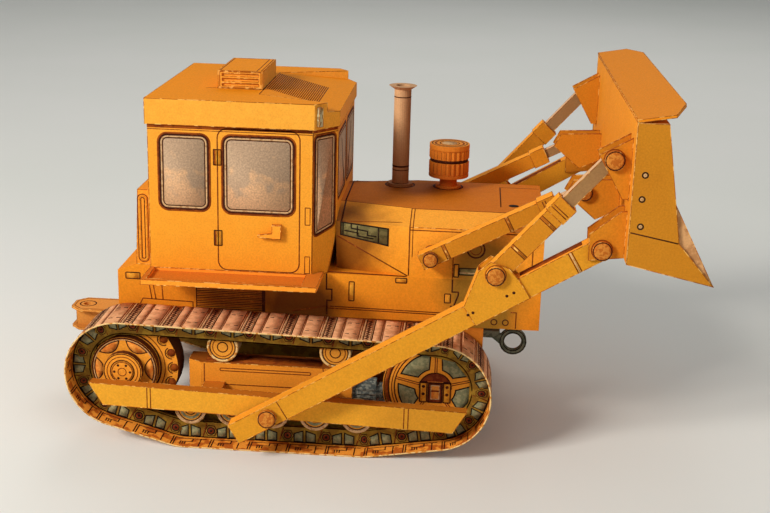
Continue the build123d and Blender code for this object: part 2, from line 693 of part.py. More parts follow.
def exhaust():
    """Pipe with a flared lip and a foot ring."""
    flare = EXHAUST_TOP - EXHAUST_LIP_HEIGHT
    lean = math.degrees(math.atan2(EXHAUST_LIP_RADIUS - EXHAUST_RADIUS, EXHAUST_LIP_HEIGHT))
    lip = extrude(RegularPolygon(EXHAUST_RADIUS, POST_SIDES), amount=EXHAUST_LIP_HEIGHT, taper=-lean)
    pipe = rolled_post(EXHAUST_RADIUS, HOOD_TOP, flare) + Pos(0, 0, flare) * lip
    pipe += rolled_post(EXHAUST_FOOT_RADIUS, HOOD_TOP, HOOD_TOP + BOARD)
    pipe -= rolled_post(EXHAUST_RADIUS - CARD, EXHAUST_TOP - EXHAUST_BORE_DEPTH, EXHAUST_TOP + RUN)
    return Pos(EXHAUST_AT, STACK_SIDE, 0) * pipe


def precleaner():
    """Drum with two pleated rows, a plain cap and a neck."""
    pleats = make_face(Polyline(pleated_disc(CLEANER_PLEATS, CLEANER_RADIUS, PLEAT_DEPTH), close=True))
    drum = rolled_post(CLEANER_CORE, CLEANER_BOTTOM, CLEANER_TOP)
    drum += rolled_post(CLEANER_RADIUS, CLEANER_BOTTOM, CLEANER_BOTTOM + CLEANER_RIM)
    for low, high in PLEAT_ROWS:
        drum += Pos(0, 0, low) * extrude(pleats, amount=high - low)
    drum += rolled_post(CLEANER_RADIUS, CLEANER_TOP - CLEANER_CAP, CLEANER_TOP)
    drum += rolled_post(CLEANER_NECK_RADIUS, HOOD_TOP, CLEANER_BOTTOM)
    drum += rolled_post(CLEANER_FLANGE, HOOD_TOP, HOOD_TOP + CARD)
    return Pos(CLEANER_AT, STACK_SIDE, 0) * drum


def drawbar():
    """Rear drawbar of I section with a pin hole through both flanges."""
    side = [
        (CHASSIS_REAR, DRAWBAR_HALF),
        (DRAWBAR_END + DRAWBAR_CORNER, DRAWBAR_HALF),
        (DRAWBAR_END, DRAWBAR_HALF - DRAWBAR_CORNER),
    ]
    flange = side + [(x, -y) for x, y in reversed(side)]
    bar = deck_plate(flange, DRAWBAR_TOP - BOARD, DRAWBAR_TOP)
    bar += deck_plate(flange, DRAWBAR_BOTTOM, DRAWBAR_BOTTOM + BOARD)
    web_end = DRAWBAR_END + DRAWBAR_CORNER / 2
    web = (web_end, CHASSIS_REAR, -DRAWBAR_WEB, DRAWBAR_WEB)
    bar += block(*web, DRAWBAR_BOTTOM + BOARD, DRAWBAR_TOP - BOARD)
    return bar - post(DRAWBAR_PIN_AT, 0, DRAWBAR_PIN_RADIUS, DRAWBAR_BOTTOM - BOARD, DRAWBAR_TOP + BOARD)


def tow_hook():
    """Front towing eye hung from a short plate."""
    half, thick = TOW_PLATE
    foot = TOW_AT[1] + TOW_PLATE_RISE
    plate = block(CHASSIS_FRONT, TOW_AT[0] - TOW_OUTER_RADIUS, -half, half, foot, foot + thick)
    neck = slab([
        (TOW_AT[0] - TOW_NECK, foot),
        (TOW_AT[0], foot),
        (TOW_AT[0], TOW_AT[1] - TOW_OUTER_RADIUS + BOARD),
        (TOW_AT[0] - TOW_OUTER_RADIUS, TOW_AT[1] - BOARD),
    ], -TOW_THICK / 2, TOW_THICK / 2)
    eye = cut_disc(TOW_AT, TOW_OUTER_RADIUS, -TOW_THICK / 2, TOW_THICK / 2)
    return plate + (neck + eye - spindle(TOW_AT, TOW_HOLE_RADIUS, -TOW_THICK, TOW_THICK))


# ---- push arms ----
def push_arm():
    """Straight box arm; a gusset of two side plates stands on it and holds the brace pin."""
    half = ARM_HEIGHT / 2
    outer = ARM_INNER + ARM_DEPTH
    cheek = outer + BRACKET_PLATE
    nose = ARM_REACH + ARM_NOSE
    arm = slab([(-ARM_TAIL, -half), (nose, -half), (nose, half), (-ARM_TAIL, half)], ARM_INNER, outer)
    pin_at = (GUSSET_ALONG, GUSSET_UP)
    corners = (GUSSET_BROW, GUSSET_CROWN, GUSSET_CHEEK)
    head = [(pin_at[0] + along, pin_at[1] + up) for along, up in corners]
    heel, toe = GUSSET_ALONG - GUSSET_FOOT[0], GUSSET_ALONG + GUSSET_FOOT[1]
    foot = [(toe, half), (toe + GUSSET_SLANT, -half), (heel + GUSSET_SLANT, -half)]
    gusset = [(heel, half)] + head + foot
    arm += slab(gusset, ARM_INNER - BRACKET_PLATE, ARM_INNER) + slab(gusset, outer, cheek)
    back, front = GUSSET_WEB
    peak = (pin_at[0] - front, pin_at[1] + GUSSET_CHEEK[1])
    arm += slab([(heel, half), (pin_at[0] - back, half), peak, head[0]], ARM_INNER, outer)
    for along in (0, ARM_REACH):
        arm -= spindle((along, 0), PIN_RADIUS + PIN_FIT, ARM_INNER - RUN, outer + RUN)
    arm += spindle(pin_at, PIN_RADIUS, ARM_INNER, outer)
    arm += cut_disc(pin_at, KNOB_RADIUS, cheek, cheek + KNOB_THICK)
    return placed(arm, TRUNNION, ARM_ANGLE)


BLADE_PIN = polar(TRUNNION, ARM_ANGLE, ARM_REACH)
BRACE_FOOT = polar(TRUNNION, ARM_ANGLE, GUSSET_ALONG, GUSSET_UP)
BRACE_EYE = (BLADE_PIN[0] + BRACE_PIN[0], BLADE_PIN[1] + BRACE_PIN[1])
LIFT_EYE_AT = (BLADE_PIN[0] + LIFT_EYE[0], BLADE_PIN[1] + LIFT_EYE[1])


def from_blade_pin(points):
    return [(BLADE_PIN[0] + x, BLADE_PIN[1] + z) for x, z in points]


# ---- blade ----
def mouldboard():
    """Box blade: flat back, front folded forward towards the cutting edge."""
    outline = [
        (BLADE_BACK, BLADE_HEEL),
        (BLADE_BACK + EDGE_LAP[0], BLADE_HEEL - EDGE_LAP[1]),
        BLADE_KNEE,
        BLADE_FOLD,
        BLADE_BROW,
        (BLADE_BACK, BLADE_TOP),
    ]
    return slab(from_blade_pin(outline), -BLADE_INSIDE, BLADE_INSIDE)


def cutting_edge():
    rear_corner = (BLADE_BACK + EDGE_LAP[0], BLADE_HEEL - EDGE_LAP[1])
    outline = [rear_corner, BLADE_TOE, BLADE_FOLD, BLADE_KNEE]
    return slab(from_blade_pin(outline), -BLADE_INSIDE, BLADE_INSIDE)


def end_plates():
    front = [BLADE_TOE, BLADE_KNEE, BLADE_FOLD, BLADE_BROW]
    outline = [(BLADE_BACK, BLADE_HEEL)] + front + [(BLADE_BACK, BLADE_TOP)]
    plate = slab(from_blade_pin(outline), BLADE_INSIDE, BLADE_HALF - GUARD_OVERHANG)
    return Compound([plate, right_of(plate)])


def spill_guard():
    """Flat guard on top of the blade with cut corners, rising slightly forward."""
    x0, z0 = BLADE_PIN[0] + BLADE_BACK, BLADE_PIN[1] + BLADE_TOP
    reach = GUARD_FRONT - BLADE_BACK
    side = [(0, -BLADE_HALF), (GUARD_CORNER, -BLADE_HALF), (reach, -GUARD_CORNER_HALF)]
    plan = side + [(x, -y) for x, y in reversed(side)]
    plate = deck_plate(plan, 0, BOARD)
    return Pos(x0, 0, z0 + SEAT) * Rot(0, -math.degrees(math.atan2(GUARD_RISE, reach)), 0) * plate


def bracket_pair(outline, middle, gap):
    """Two like plates with a gap between them, about a given distance from the middle plane."""
    points = from_blade_pin(outline)
    inner = slab(points, middle - gap / 2 - BRACKET_PLATE, middle - gap / 2)
    outer = slab(points, middle + gap / 2, middle + gap / 2 + BRACKET_PLATE)
    return inner, outer


def knob_on(place, radius, middle, gap):
    """Turned paper knob on the outside of a bracket pair."""
    end = middle + gap / 2 + BRACKET_PLATE
    return cut_disc(place, radius, end, end + KNOB_THICK)


def arm_brackets():
    """Bracket pairs with the pins that the push arms hold the blade by."""
    inner, outer = bracket_pair(ARM_BRACKET, ARM_MIDDLE, WIDE_GAP)
    pin = spindle(BLADE_PIN, PIN_RADIUS, ARM_MIDDLE - WIDE_GAP / 2, ARM_MIDDLE + WIDE_GAP / 2)
    one = inner + outer + pin + knob_on(BLADE_PIN, KNOB_RADIUS, ARM_MIDDLE, WIDE_GAP)
    return Compound([one, right_of(one)])


def brace_brackets():
    inner, outer = bracket_pair(BRACE_BRACKET, ARM_MIDDLE, WIDE_GAP)
    outer += knob_on(BRACE_EYE, KNOB_RADIUS, ARM_MIDDLE, WIDE_GAP)
    return Compound([inner, outer, right_of(inner), right_of(outer)])


def lift_brackets():
    gap = LIFT_BARREL[1] + 2 * BRACKET_CLEAR
    inner, outer = bracket_pair(LIFT_BRACKET, LIFT_SIDE, gap)
    outer += knob_on(LIFT_EYE_AT, SMALL_KNOB_RADIUS, LIFT_SIDE, gap)
    return Compound([inner, outer, right_of(inner), right_of(outer)])


# ---- cylinders ----
def barrel(section, rod, length, bottom, middle, pin_radius):
    """Square barrel along x with its pin at x = 0, a collar at the mouth and a square bore for the rod."""
    height, depth = section
    sides = (middle - depth / 2, middle + depth / 2)
    tube = block(-BARREL_TAIL, length, *sides, -height / 2, height / 2)
    collar_sides = (sides[0] - COLLAR_SIDE_PROUD, sides[1] + COLLAR_SIDE_PROUD)
    collar_half = height / 2 + COLLAR_PROUD
    tube += block(length - COLLAR_LENGTH, length, *collar_sides, -collar_half, collar_half)
    bore_side, bore_half = rod[1] / 2 + RUN, rod[0] / 2 + RUN
    tube -= block(bottom, length + RUN, middle - bore_side, middle + bore_side, -bore_half, bore_half)
    return tube - spindle((0, 0), pin_radius + PIN_FIT, middle - depth, middle + depth)


def piston_rod(rod, start, eye, middle, origin, angle):
    """Square rod with a rounded eye end."""
    height, depth = rod
    bar = block(start, eye, middle - depth / 2, middle + depth / 2, -height / 2, height / 2)
    bar += spindle((eye, 0), height / 2, middle - depth / 2, middle + depth / 2)
    return placed(bar, origin, angle)


def span(first, second):
    """Length and angle of the line between two pins."""
    dx, dz = second[0] - first[0], second[1] - first[1]
    return math.hypot(dx, dz), math.degrees(math.atan2(dz, dx))


LIFT_LENGTH, LIFT_ANGLE = span(LIFT_PIVOT, LIFT_EYE_AT)
BRACE_LENGTH, BRACE_ANGLE = span(BRACE_FOOT, BRACE_EYE)


def lift_barrel():
    tube = barrel(LIFT_BARREL, LIFT_ROD, LIFT_BARREL_LENGTH, LIFT_BORE_BOTTOM, LIFT_SIDE, SMALL_PIN_RADIUS)
    return placed(tube, LIFT_PIVOT, LIFT_ANGLE)


def lift_rod():
    return piston_rod(LIFT_ROD, LIFT_ROD_START, LIFT_LENGTH, LIFT_SIDE, LIFT_PIVOT, LIFT_ANGLE)


def lift_pins():
    """Pin and knob on the hood side that each lift cylinder turns on."""
    inner = LIFT_SIDE - LIFT_BARREL[1] / 2 - RUN
    outer = LIFT_SIDE + LIFT_BARREL[1] / 2 + RUN
    one = cut_disc(LIFT_PIVOT, SMALL_PIN_RADIUS + BOSS_EXTRA, HULL_HALF, inner)
    one += spindle(LIFT_PIVOT, SMALL_PIN_RADIUS, inner, outer)
    one += cut_disc(LIFT_PIVOT, SMALL_KNOB_RADIUS, outer, outer + KNOB_THICK)
    return Compound([one, right_of(one)])


def brace_barrel():
    tube = barrel(BRACE_BARREL, BRACE_ROD, BRACE_BARREL_LENGTH, BRACE_BORE_BOTTOM, ARM_MIDDLE, PIN_RADIUS)
    return placed(tube, BRACE_FOOT, BRACE_ANGLE)


def brace_rod():
    return piston_rod(BRACE_ROD, BRACE_ROD_START, BRACE_LENGTH, ARM_MIDDLE, BRACE_FOOT, BRACE_ANGLE)


# ---- writing the pieces ----
SINGLE = {
    "chassis": chassis,
    "hull": hull,
    "hood": hood,
    "rear_tank": rear_tank,
    "cab": cab,
    "cab_roof": cab_roof,
    "roof_vent": roof_vent,
    "roof_lamps": roof_lamps,
    "door_handles": door_handles,
    "exhaust": exhaust,
    "precleaner": precleaner,
    "drawbar": drawbar,
    "tow_hook": tow_hook,
    "lift_pins": lift_pins,
    "mouldboard": mouldboard,
    "cutting_edge": cutting_edge,
    "end_plates": end_plates,
    "spill_guard": spill_guard,
    "arm_brackets": arm_brackets,
    "brace_brackets": brace_brackets,
    "lift_brackets": lift_brackets,
}

PAIRED = {
    "step_tray": step_tray,
    "track_band": track_band,
    "link_rings": link_rings,
    "sprocket": sprocket,
    "idler": idler,
    "rollers": rollers,
    "track_frame": track_frame,
    "adjuster": adjuster,
    "outer_beam": outer_beam,
    "push_arm": push_arm,
    "lift_barrel": lift_barrel,
    "lift_rod": lift_rod,
    "brace_barrel": brace_barrel,
    "brace_rod": brace_rod,
}


def write(piece, name):
    export_step(Pos(FRAME_SHIFT, 0, 0) * piece, f"parts/{name}.step")


def main():
    os.makedirs("parts", exist_ok=True)
    for name, make in SINGLE.items():
        write(make(), name)
    for name, make in PAIRED.items():
        left = make()
        write(left, name + "_left")
        write(right_of(left), name + "_right")


main()
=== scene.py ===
"""Looks of a card model of a crawler dozer: printed card finishes, line work and folds over the CAD frame.

Sizes are millimetres in the machine's own frame: x forward from the middle of the tracks, y to the
left, z up from the ground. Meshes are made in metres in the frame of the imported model.
"""

from __future__ import annotations

import json
import logging
import math
from dataclasses import dataclass, field
from enum import Enum
from typing import Sequence

import bpy
import numpy as np
from mathutils import Matrix, Vector

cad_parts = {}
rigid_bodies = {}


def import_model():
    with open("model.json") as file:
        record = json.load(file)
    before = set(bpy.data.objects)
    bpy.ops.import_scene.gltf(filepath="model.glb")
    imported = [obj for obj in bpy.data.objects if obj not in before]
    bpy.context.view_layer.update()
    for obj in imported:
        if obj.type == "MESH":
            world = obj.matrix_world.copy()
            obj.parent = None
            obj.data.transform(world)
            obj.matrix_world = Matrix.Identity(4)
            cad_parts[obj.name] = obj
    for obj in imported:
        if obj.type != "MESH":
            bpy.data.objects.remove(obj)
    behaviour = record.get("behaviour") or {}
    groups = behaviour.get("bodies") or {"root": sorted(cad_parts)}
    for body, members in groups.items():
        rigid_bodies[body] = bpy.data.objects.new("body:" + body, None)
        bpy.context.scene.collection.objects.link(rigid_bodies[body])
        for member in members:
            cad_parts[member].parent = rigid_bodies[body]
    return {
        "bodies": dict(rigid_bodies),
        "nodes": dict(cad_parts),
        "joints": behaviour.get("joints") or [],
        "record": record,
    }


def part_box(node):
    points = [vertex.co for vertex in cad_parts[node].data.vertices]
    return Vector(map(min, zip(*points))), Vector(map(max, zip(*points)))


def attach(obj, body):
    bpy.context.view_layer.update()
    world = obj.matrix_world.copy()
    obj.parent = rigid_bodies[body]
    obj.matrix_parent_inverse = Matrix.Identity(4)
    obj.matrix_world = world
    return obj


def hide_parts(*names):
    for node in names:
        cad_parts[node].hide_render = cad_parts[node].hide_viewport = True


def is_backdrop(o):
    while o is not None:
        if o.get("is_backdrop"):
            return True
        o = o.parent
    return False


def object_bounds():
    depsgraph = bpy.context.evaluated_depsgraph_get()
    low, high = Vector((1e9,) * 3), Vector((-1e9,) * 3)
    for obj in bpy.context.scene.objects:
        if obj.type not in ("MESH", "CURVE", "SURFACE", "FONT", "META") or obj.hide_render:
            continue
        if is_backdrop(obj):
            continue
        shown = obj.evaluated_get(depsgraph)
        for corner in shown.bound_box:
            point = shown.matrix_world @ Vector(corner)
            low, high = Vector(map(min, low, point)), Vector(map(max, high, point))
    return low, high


LOG = logging.getLogger("card_dozer")
MM = 0.001
HUB = (0.0, 0.0)
Spot = tuple[float, float]
Triple = tuple[float, float, float]
Tint = tuple[int, int, int]
Flat = Sequence[Spot]
Socket = bpy.types.NodeSocket


# ---------------------------------------------------------------- colours and finishes
def ink_colour(red: int, green: int, blue: int) -> tuple[float, float, float, float]:
    """Linear colour of a printed ink given as 0 to 255 values.

    Args:
        red: Red value of the ink.
        green: Green value of the ink.
        blue: Blue value of the ink.

    Returns:
        Linear red, green, blue and full alpha.
    """
    values = np.array([red, green, blue]) / 255
    linear = np.where(values <= 0.04045, values / 12.92, ((values + 0.055) / 1.055) ** 2.4)
    return (*linear.tolist(), 1.0)


class Wiring:
    """One material's node tree, with short calls to add and join its nodes."""

    def __init__(self, name: str, roughness: float = 0.8, gloss: float = 0.12) -> None:
        """Start a material whose roughness and gloss are even unless a node drives them.

        Args:
            name: Name of the material.
            roughness: Roughness of the surface.
            gloss: Specular level of the surface.
        """
        self.material = bpy.data.materials.new(name)
        self.material.use_nodes = True
        self.tree = self.material.node_tree
        self.tree.nodes.clear()
        self.shader = self.tree.nodes.new("ShaderNodeBsdfPrincipled")
        self.shader.inputs["Roughness"].default_value = roughness
        self.shader.inputs["Specular IOR Level"].default_value = gloss
        output = self.tree.nodes.new("ShaderNodeOutputMaterial")
        self.tree.links.new(self.shader.outputs["BSDF"], output.inputs["Surface"])
        self.place = self.tree.nodes.new("ShaderNodeTexCoord").outputs["Object"]
        self.facing = self.place.node.outputs["Normal"]

    def join(self, source: Socket | float | Sequence[float], target: Socket) -> None:
        """Give an input a link from another socket, or a plain number, vector or colour.

        Args:
            source: The other socket, or the plain value.
            target: The input.
        """
        if isinstance(source, Socket):
            self.tree.links.new(source, target)
        else:
            target.default_value = source

    def add(self, kind: str, **inputs: Socket | float | Sequence[float]) -> bpy.types.Node:
        """Add a node and join or set the inputs that are named.

        Args:
            kind: Kind of the node, without the words that every shader node starts with.
            **inputs: Source of each input, with an underscore for the space in its name.

        Returns:
            The node.
        """
        node = self.tree.nodes.new(f"ShaderNode{kind}")
        for name, source in inputs.items():
            self.join(source, node.inputs[name.replace("_", " ")])
        return node

    def noise(self, size: float, detail: float = 2.0, vector: Socket | None = None) -> Socket:
        """Noise from 0 to 1, in blots of a size in millimetres, with some octaves of finer noise."""
        place = vector or self.place
        return self.add("TexNoise", Vector=place, Scale=1 / (size * MM), Detail=detail).outputs["Fac"]

    def spread(self, value: Socket, low: float, high: float, to: Spot = (0.0, 1.0)) -> Socket:
        """Straight ramp from the first to the second of two ends between two values, held past them."""
        ends = {"From_Min": low, "From_Max": high, "To_Min": to[0], "To_Max": to[1]}
        return self.add("MapRange", Value=value, **ends).outputs["Result"]

    def ripple(self, noise: Socket, low: float, high: float) -> Socket:
        """A noise's usual range, from 0.3 to 0.7, spread between two values."""
        return self.spread(noise, 0.3, 0.7, (low, high))

    def sums(self, kind: str, first: Socket | float, second: Socket | float = 0.0) -> Socket:
        """One arithmetic step.

        Args:
            kind: Name of the operation.
            first: First value.
            second: Second value, where the operation has one.

        Returns:
            The result.
        """
        node = self.add("Math")
        node.operation = kind
        self.join(first, node.inputs[0])
        self.join(second, node.inputs[1])
        return node.outputs["Value"]

    def blend(
        self, share: Socket | float, first: Socket | tuple, second: Socket | tuple, kind: str = "MIX"
    ) -> Socket:
        """Mix of two colours.

        Args:
            share: Share of the second colour.
            first: First colour.
            second: Second colour.
            kind: How the second is laid on the first.

        Returns:
            The mixed colour.
        """
        node = self.add("Mix")
        node.data_type = "RGBA"
        node.blend_type = kind
        for name, source in (("Factor_Float", share), ("A_Color", first), ("B_Color", second)):
            self.join(source, next(i for i in node.inputs if i.identifier == name))
        return next(o for o in node.outputs if o.identifier == "Result_Color")

    def axis(self, vector: Socket, name: str) -> Socket:
        """One part of a vector, named by its letter."""
        return self.add("SeparateXYZ", Vector=vector).outputs[name]

    def grey(self, value: Socket) -> Socket:
        """A value as an even grey colour."""
        return self.add("CombineColor", Red=value, Green=value, Blue=value).outputs["Color"]

    def paper(self, colour: Socket, depth: float = 0.015) -> bpy.types.Material:
        """Finish the material as paper: fine grain in the ink and a fibrous surface.

        Args:
            colour: The printed colour.
            depth: Height of the fibres in millimetres.

        Returns:
            The finished material.
        """
        stretched = self.add("Mapping", Vector=self.place, Scale=(1.0, 1.0, 0.45)).outputs["Vector"]
        fibre = self.noise(0.35, 3.0, stretched)
        speck = self.ripple(self.noise(0.5, 2.0), 0.9, 1.08)
        grain = self.blend(1.0, colour, self.grey(speck), "MULTIPLY")
        self.join(grain, self.shader.inputs["Base Color"])
        self.join(self.ripple(fibre, 0.66, 0.86), self.shader.inputs["Roughness"])
        bump = self.add("Bump", Strength=0.35, Distance=depth * MM, Height=fibre)
        self.join(bump.outputs["Normal"], self.shader.inputs["Normal"])
        return self.material


@dataclass(frozen=True)
class Shade:
    """Painted shade: an oval cloud of darker ink where a shadow falls, in millimetres of the machine's own
    frame.
    """

    centre: Triple
    reach: Triple
    share: float
    ink: Tint

    def spray(self, wiring: Wiring, colour: Socket, shift: float, cloud: Socket) -> Socket:
        """Lay the shade on a colour.

        The shade grows from nothing at its edge, one reach from the centre, to its full share half way
        in; a cloud moves that border.

        Args:
            wiring: Material that it belongs to.
            colour: Colour under it.
            shift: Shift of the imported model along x.
            cloud: Noise that roughens its border.

        Returns:
            The shaded colour.
        """
        scale = [1 / (reach * MM) for reach in self.reach]
        centre = (self.centre[0] + shift, *self.centre[1:])
        start = [-c * MM * k for c, k in zip(centre, scale)]
        node = wiring.add("Mapping", Vector=wiring.place, Scale=scale, Location=start)
        length = wiring.add("VectorMath", Vector=node.outputs["Vector"])
        length.operation = "LENGTH"
        edge = wiring.sums("ADD", length.outputs["Value"], wiring.ripple(cloud, -0.12, 0.12))
        share = wiring.spread(edge, 1.0, 0.5, (0.0, self.share))
        return wiring.blend(share, colour, ink_colour(*self.ink))


def both(centre: Triple, reach: Triple, share: float, ink: Tint) -> tuple[Shade, Shade]:
    """The same painted shade on the right and on the left of the machine."""
    x, y, z = centre
    return Shade((x, -y, z), reach, share, ink), Shade((x, y, z), reach, share, ink)


@dataclass(frozen=True)
class CardFinish:
    """Card whose colour changes with height and from face to face, with clouds of painted shade over it."""

    name: str
    upper: Tint
    lower: Tint
    low: float
    high: float
    deck: Tint | None = None
    level: Spot = (0.45, 0.75)
    mottle: float = 0.16
    warm: Tint = (222, 134, 30)
    shades: tuple[Shade, ...] = ()

    def build(self, shift: float = 0.0) -> bpy.types.Material:
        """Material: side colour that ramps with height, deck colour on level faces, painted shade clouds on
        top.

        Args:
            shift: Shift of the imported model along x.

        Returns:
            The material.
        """
        wiring = Wiring(self.name)
        height = wiring.spread(wiring.axis(wiring.place, "Z"), self.low * MM, self.high * MM)
        cloud = wiring.noise(9.0, 3.0)
        share = wiring.sums("ADD", height, wiring.ripple(cloud, -self.mottle, self.mottle))
        share = wiring.spread(share, 0.0, 1.0)
        colour = wiring.blend(share, ink_colour(*self.lower), ink_colour(*self.upper))
        if self.deck:
            upright = wiring.sums("ABSOLUTE", wiring.axis(wiring.facing, "Z"))
            colour = wiring.blend(wiring.spread(upright, *self.level), colour, ink_colour(*self.deck))
        hue = wiring.spread(wiring.noise(2.6, 2.0), 0.35, 0.7, (0.0, 0.2))
        colour = wiring.blend(hue, colour, ink_colour(*self.warm))
        # Painted shade clouds where shadows fall, laid over the card colour.
        for shade in self.shades:
            colour = shade.spray(wiring, colour, shift, cloud)
        return wiring.paper(colour)


@dataclass(frozen=True)
class SideFinish:
    """Card whose flanks and whose narrow faces take different colours, with clouds of painted shade over it.
    """

    name: str
    flank: Tint
    narrow: Tint
    mottle: float = 0.3
    wash: Tint = (236, 224, 200)
    shades: tuple[Shade, ...] = ()

    def build(self, shift: float = 0.0) -> bpy.types.Material:
        """Material: flank colour on faces across the machine, the other colour on the rest.

        Args:
            shift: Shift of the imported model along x.

        Returns:
            The material.
        """
        wiring = Wiring(self.name)
        side = wiring.spread(wiring.sums("ABSOLUTE", wiring.axis(wiring.facing, "Y")), 0.5, 0.75)
        colour = wiring.blend(side, ink_colour(*self.narrow), ink_colour(*self.flank))
        cloud = wiring.noise(7.0, 3.0)
        soft = wiring.blend(1.0, colour, ink_colour(*self.wash), "MULTIPLY")
        colour = wiring.blend(wiring.spread(cloud, 0.4, 0.72, (0.0, self.mottle)), colour, soft)
        # Painted shade clouds where shadows fall, laid over the card colour.
        for shade in self.shades:
            colour = shade.spray(wiring, colour, shift, cloud)
        return wiring.paper(colour)


@dataclass(frozen=True)
class InkFinish:
    """Printed ink that the paper wears through in flecks."""

    name: str
    ink: Tint
    fleck: Tint
    wear: float
    size: float = 1.2

    def build(self) -> bpy.types.Material:
        """Material: noise above a threshold shows the fleck colour in place of the ink.

        Returns:
            The material.
        """
        wiring = Wiring(self.name, gloss=0.1)
        least = 0.6 - self.wear * 0.3
        bare = wiring.spread(wiring.noise(self.size, 3.0), least, least + 0.08)
        return wiring.paper(wiring.blend(bare, ink_colour(*self.ink), ink_colour(*self.fleck)), 0.008)


@dataclass(frozen=True)
class PaneFinish:
    """Window print: soft grey over pink, parted by a jagged cloud edge, with fine pencil strokes."""

    name: str
    grey: Tint
    warm: Tint
    foot: float = 70.0
    head: float = 82.0

    def build(self) -> bpy.types.Material:
        """Material: height plus noise picks grey or pink, and fine strokes darken both.

        Returns:
            The material.
        """
        wiring = Wiring(self.name)
        height = wiring.spread(wiring.axis(wiring.place, "Z"), self.foot * MM, self.head * MM)
        cloud = wiring.ripple(wiring.noise(4.2, 2.0), -0.42, 0.42)
        share = wiring.spread(wiring.sums("ADD", height, cloud), 0.35, 0.65)
        colour = wiring.blend(share, ink_colour(*self.warm), ink_colour(*self.grey))
        stroke = wiring.ripple(wiring.noise(0.5, 3.0), 0.82, 1.1)
        return wiring.paper(wiring.blend(1.0, colour, wiring.grey(stroke), "MULTIPLY"))


@dataclass(frozen=True)
class PipeFinish:
    """Rolled pipe printed as metal: dark along its far side and at its foot."""

    name: str
    foot: float
    head: float
    light: Tint = (212, 164, 120)
    dark: Tint = (150, 104, 68)
    base: Tint = (158, 100, 58)

    def build(self) -> bpy.types.Material:
        """Material: a ramp across the pipe and a ramp up it, with a soft cloud in both.

        Returns:
            The material.
        """
        wiring = Wiring(self.name, 0.75, 0.15)
        cloud = wiring.noise(6.0)
        sway = wiring.spread(cloud, 0.0, 1.0, (-0.3, 0.3))
        turn = wiring.spread(wiring.sums("ADD", wiring.axis(wiring.facing, "X"), sway), -0.4, 0.95)
        colour = wiring.blend(turn, ink_colour(*self.light), ink_colour(*self.dark))
        lift = wiring.spread(cloud, 0.0, 1.0, (-6 * MM, 6 * MM))
        height = wiring.sums("ADD", wiring.axis(wiring.place, "Z"), lift)
        low = wiring.spread(height, self.foot * MM, self.head * MM)
        return wiring.paper(wiring.blend(low, ink_colour(*self.base), colour))


class Ink(Enum):
    """The inks that the line work is printed in."""

    LINE = InkFinish("line_ink", (112, 48, 14), (160, 82, 24), 0.12, 0.9)
    DARK = InkFinish("dark_ink", (64, 26, 12), (96, 44, 18), 0.15, 0.9)
    BLACK = InkFinish("black_ink", (34, 24, 18), (58, 38, 24), 0.15, 0.8)
    FOLD = InkFinish("fold_wear", (172, 92, 24), (236, 180, 96), 0.3, 1.4)
    EDGE = InkFinish("cut_edge", (232, 196, 134), (196, 128, 50), 0.3, 1.4)
    PALE = InkFinish("pale_ink", (208, 168, 122), (172, 128, 86), 0.25, 1.0)
    PANEL = InkFinish("panel_print", (234, 172, 126), (212, 150, 106), 0.4, 2.0)
    # Brown ink: printed surrounds and lines, and also painted shadow under the eaves, on the track frame's
    # top and round the knobs.
    BROWN = InkFinish("brown_shade", (150, 72, 16), (122, 52, 12), 0.4, 2.2)
    RUST = InkFinish("rust_shade", (214, 118, 44), (232, 148, 62), 0.5, 1.6)
    WINE = InkFinish("wine_shade", (112, 44, 20), (136, 62, 26), 0.4, 1.4)
    MOSS = InkFinish("moss_shade", (104, 94, 58), (128, 116, 72), 0.5, 1.4)
    TEAL = InkFinish("teal_shade", (126, 126, 94), (152, 146, 108), 0.5, 1.2)
    GOLD = InkFinish("gold_print", (226, 152, 46), (212, 130, 34), 0.4, 1.8)
    KNOB = InkFinish("knob_print", (180, 98, 30), (200, 126, 48), 0.45, 1.0)
    PANE = PaneFinish("pane_print", (182, 152, 124), (212, 168, 128))


class Palette:
    """Builds each ink's material once."""

    def __init__(self) -> None:
        """Start with nothing built."""
        self.built: dict[Ink, bpy.types.Material] = {}

    def of(self, ink: Ink) -> bpy.types.Material:
        """The ink's material, built the first time that it is asked for.

        Args:
            ink: The ink.

        Returns:
            The material.
        """
        if ink not in self.built:
            self.built[ink] = ink.value.build()
        return self.built[ink]


# ---------------------------------------------------------------- flat shapes
def rays(turns: np.ndarray) -> np.ndarray:
    """Unit directions at given turns: cosine and sine of each."""
    return np.stack([np.cos(turns), np.sin(turns)], -1)


def circle(centre: Spot, radius: float, steps: int = 24) -> np.ndarray:
    """Points evenly round a circle: centre plus radius times cosine and sine of the turn."""
    return np.array(centre) + radius * rays(np.arange(steps) * (2 * math.pi / steps))


def round_box(low: Spot, high: Spot, radius: float, steps: int = 5) -> np.ndarray:
    """Rectangle with round corners, as points.

    Each point stands one radius from its corner's centre, in a direction that turns through a quarter
    turn at each of the four corners.

    Args:
        low: Lower left corner.
        high: Upper right corner.
        radius: Radius of the corners.
        steps: Steps in each corner.

    Returns:
        The outline, counter-clockwise.
    """
    index = np.arange(4 * (steps + 1))
    quarter, step = index // (steps + 1), index % (steps + 1)
    turn = (quarter + step / steps) * (math.pi / 2)
    centres = np.array([
        (high[0] - radius, high[1] - radius),
        (low[0] + radius, high[1] - radius),
        (low[0] + radius, low[1] + radius),
        (high[0] - radius, low[1] + radius),
    ])[quarter]
    return centres + radius * rays(turn)


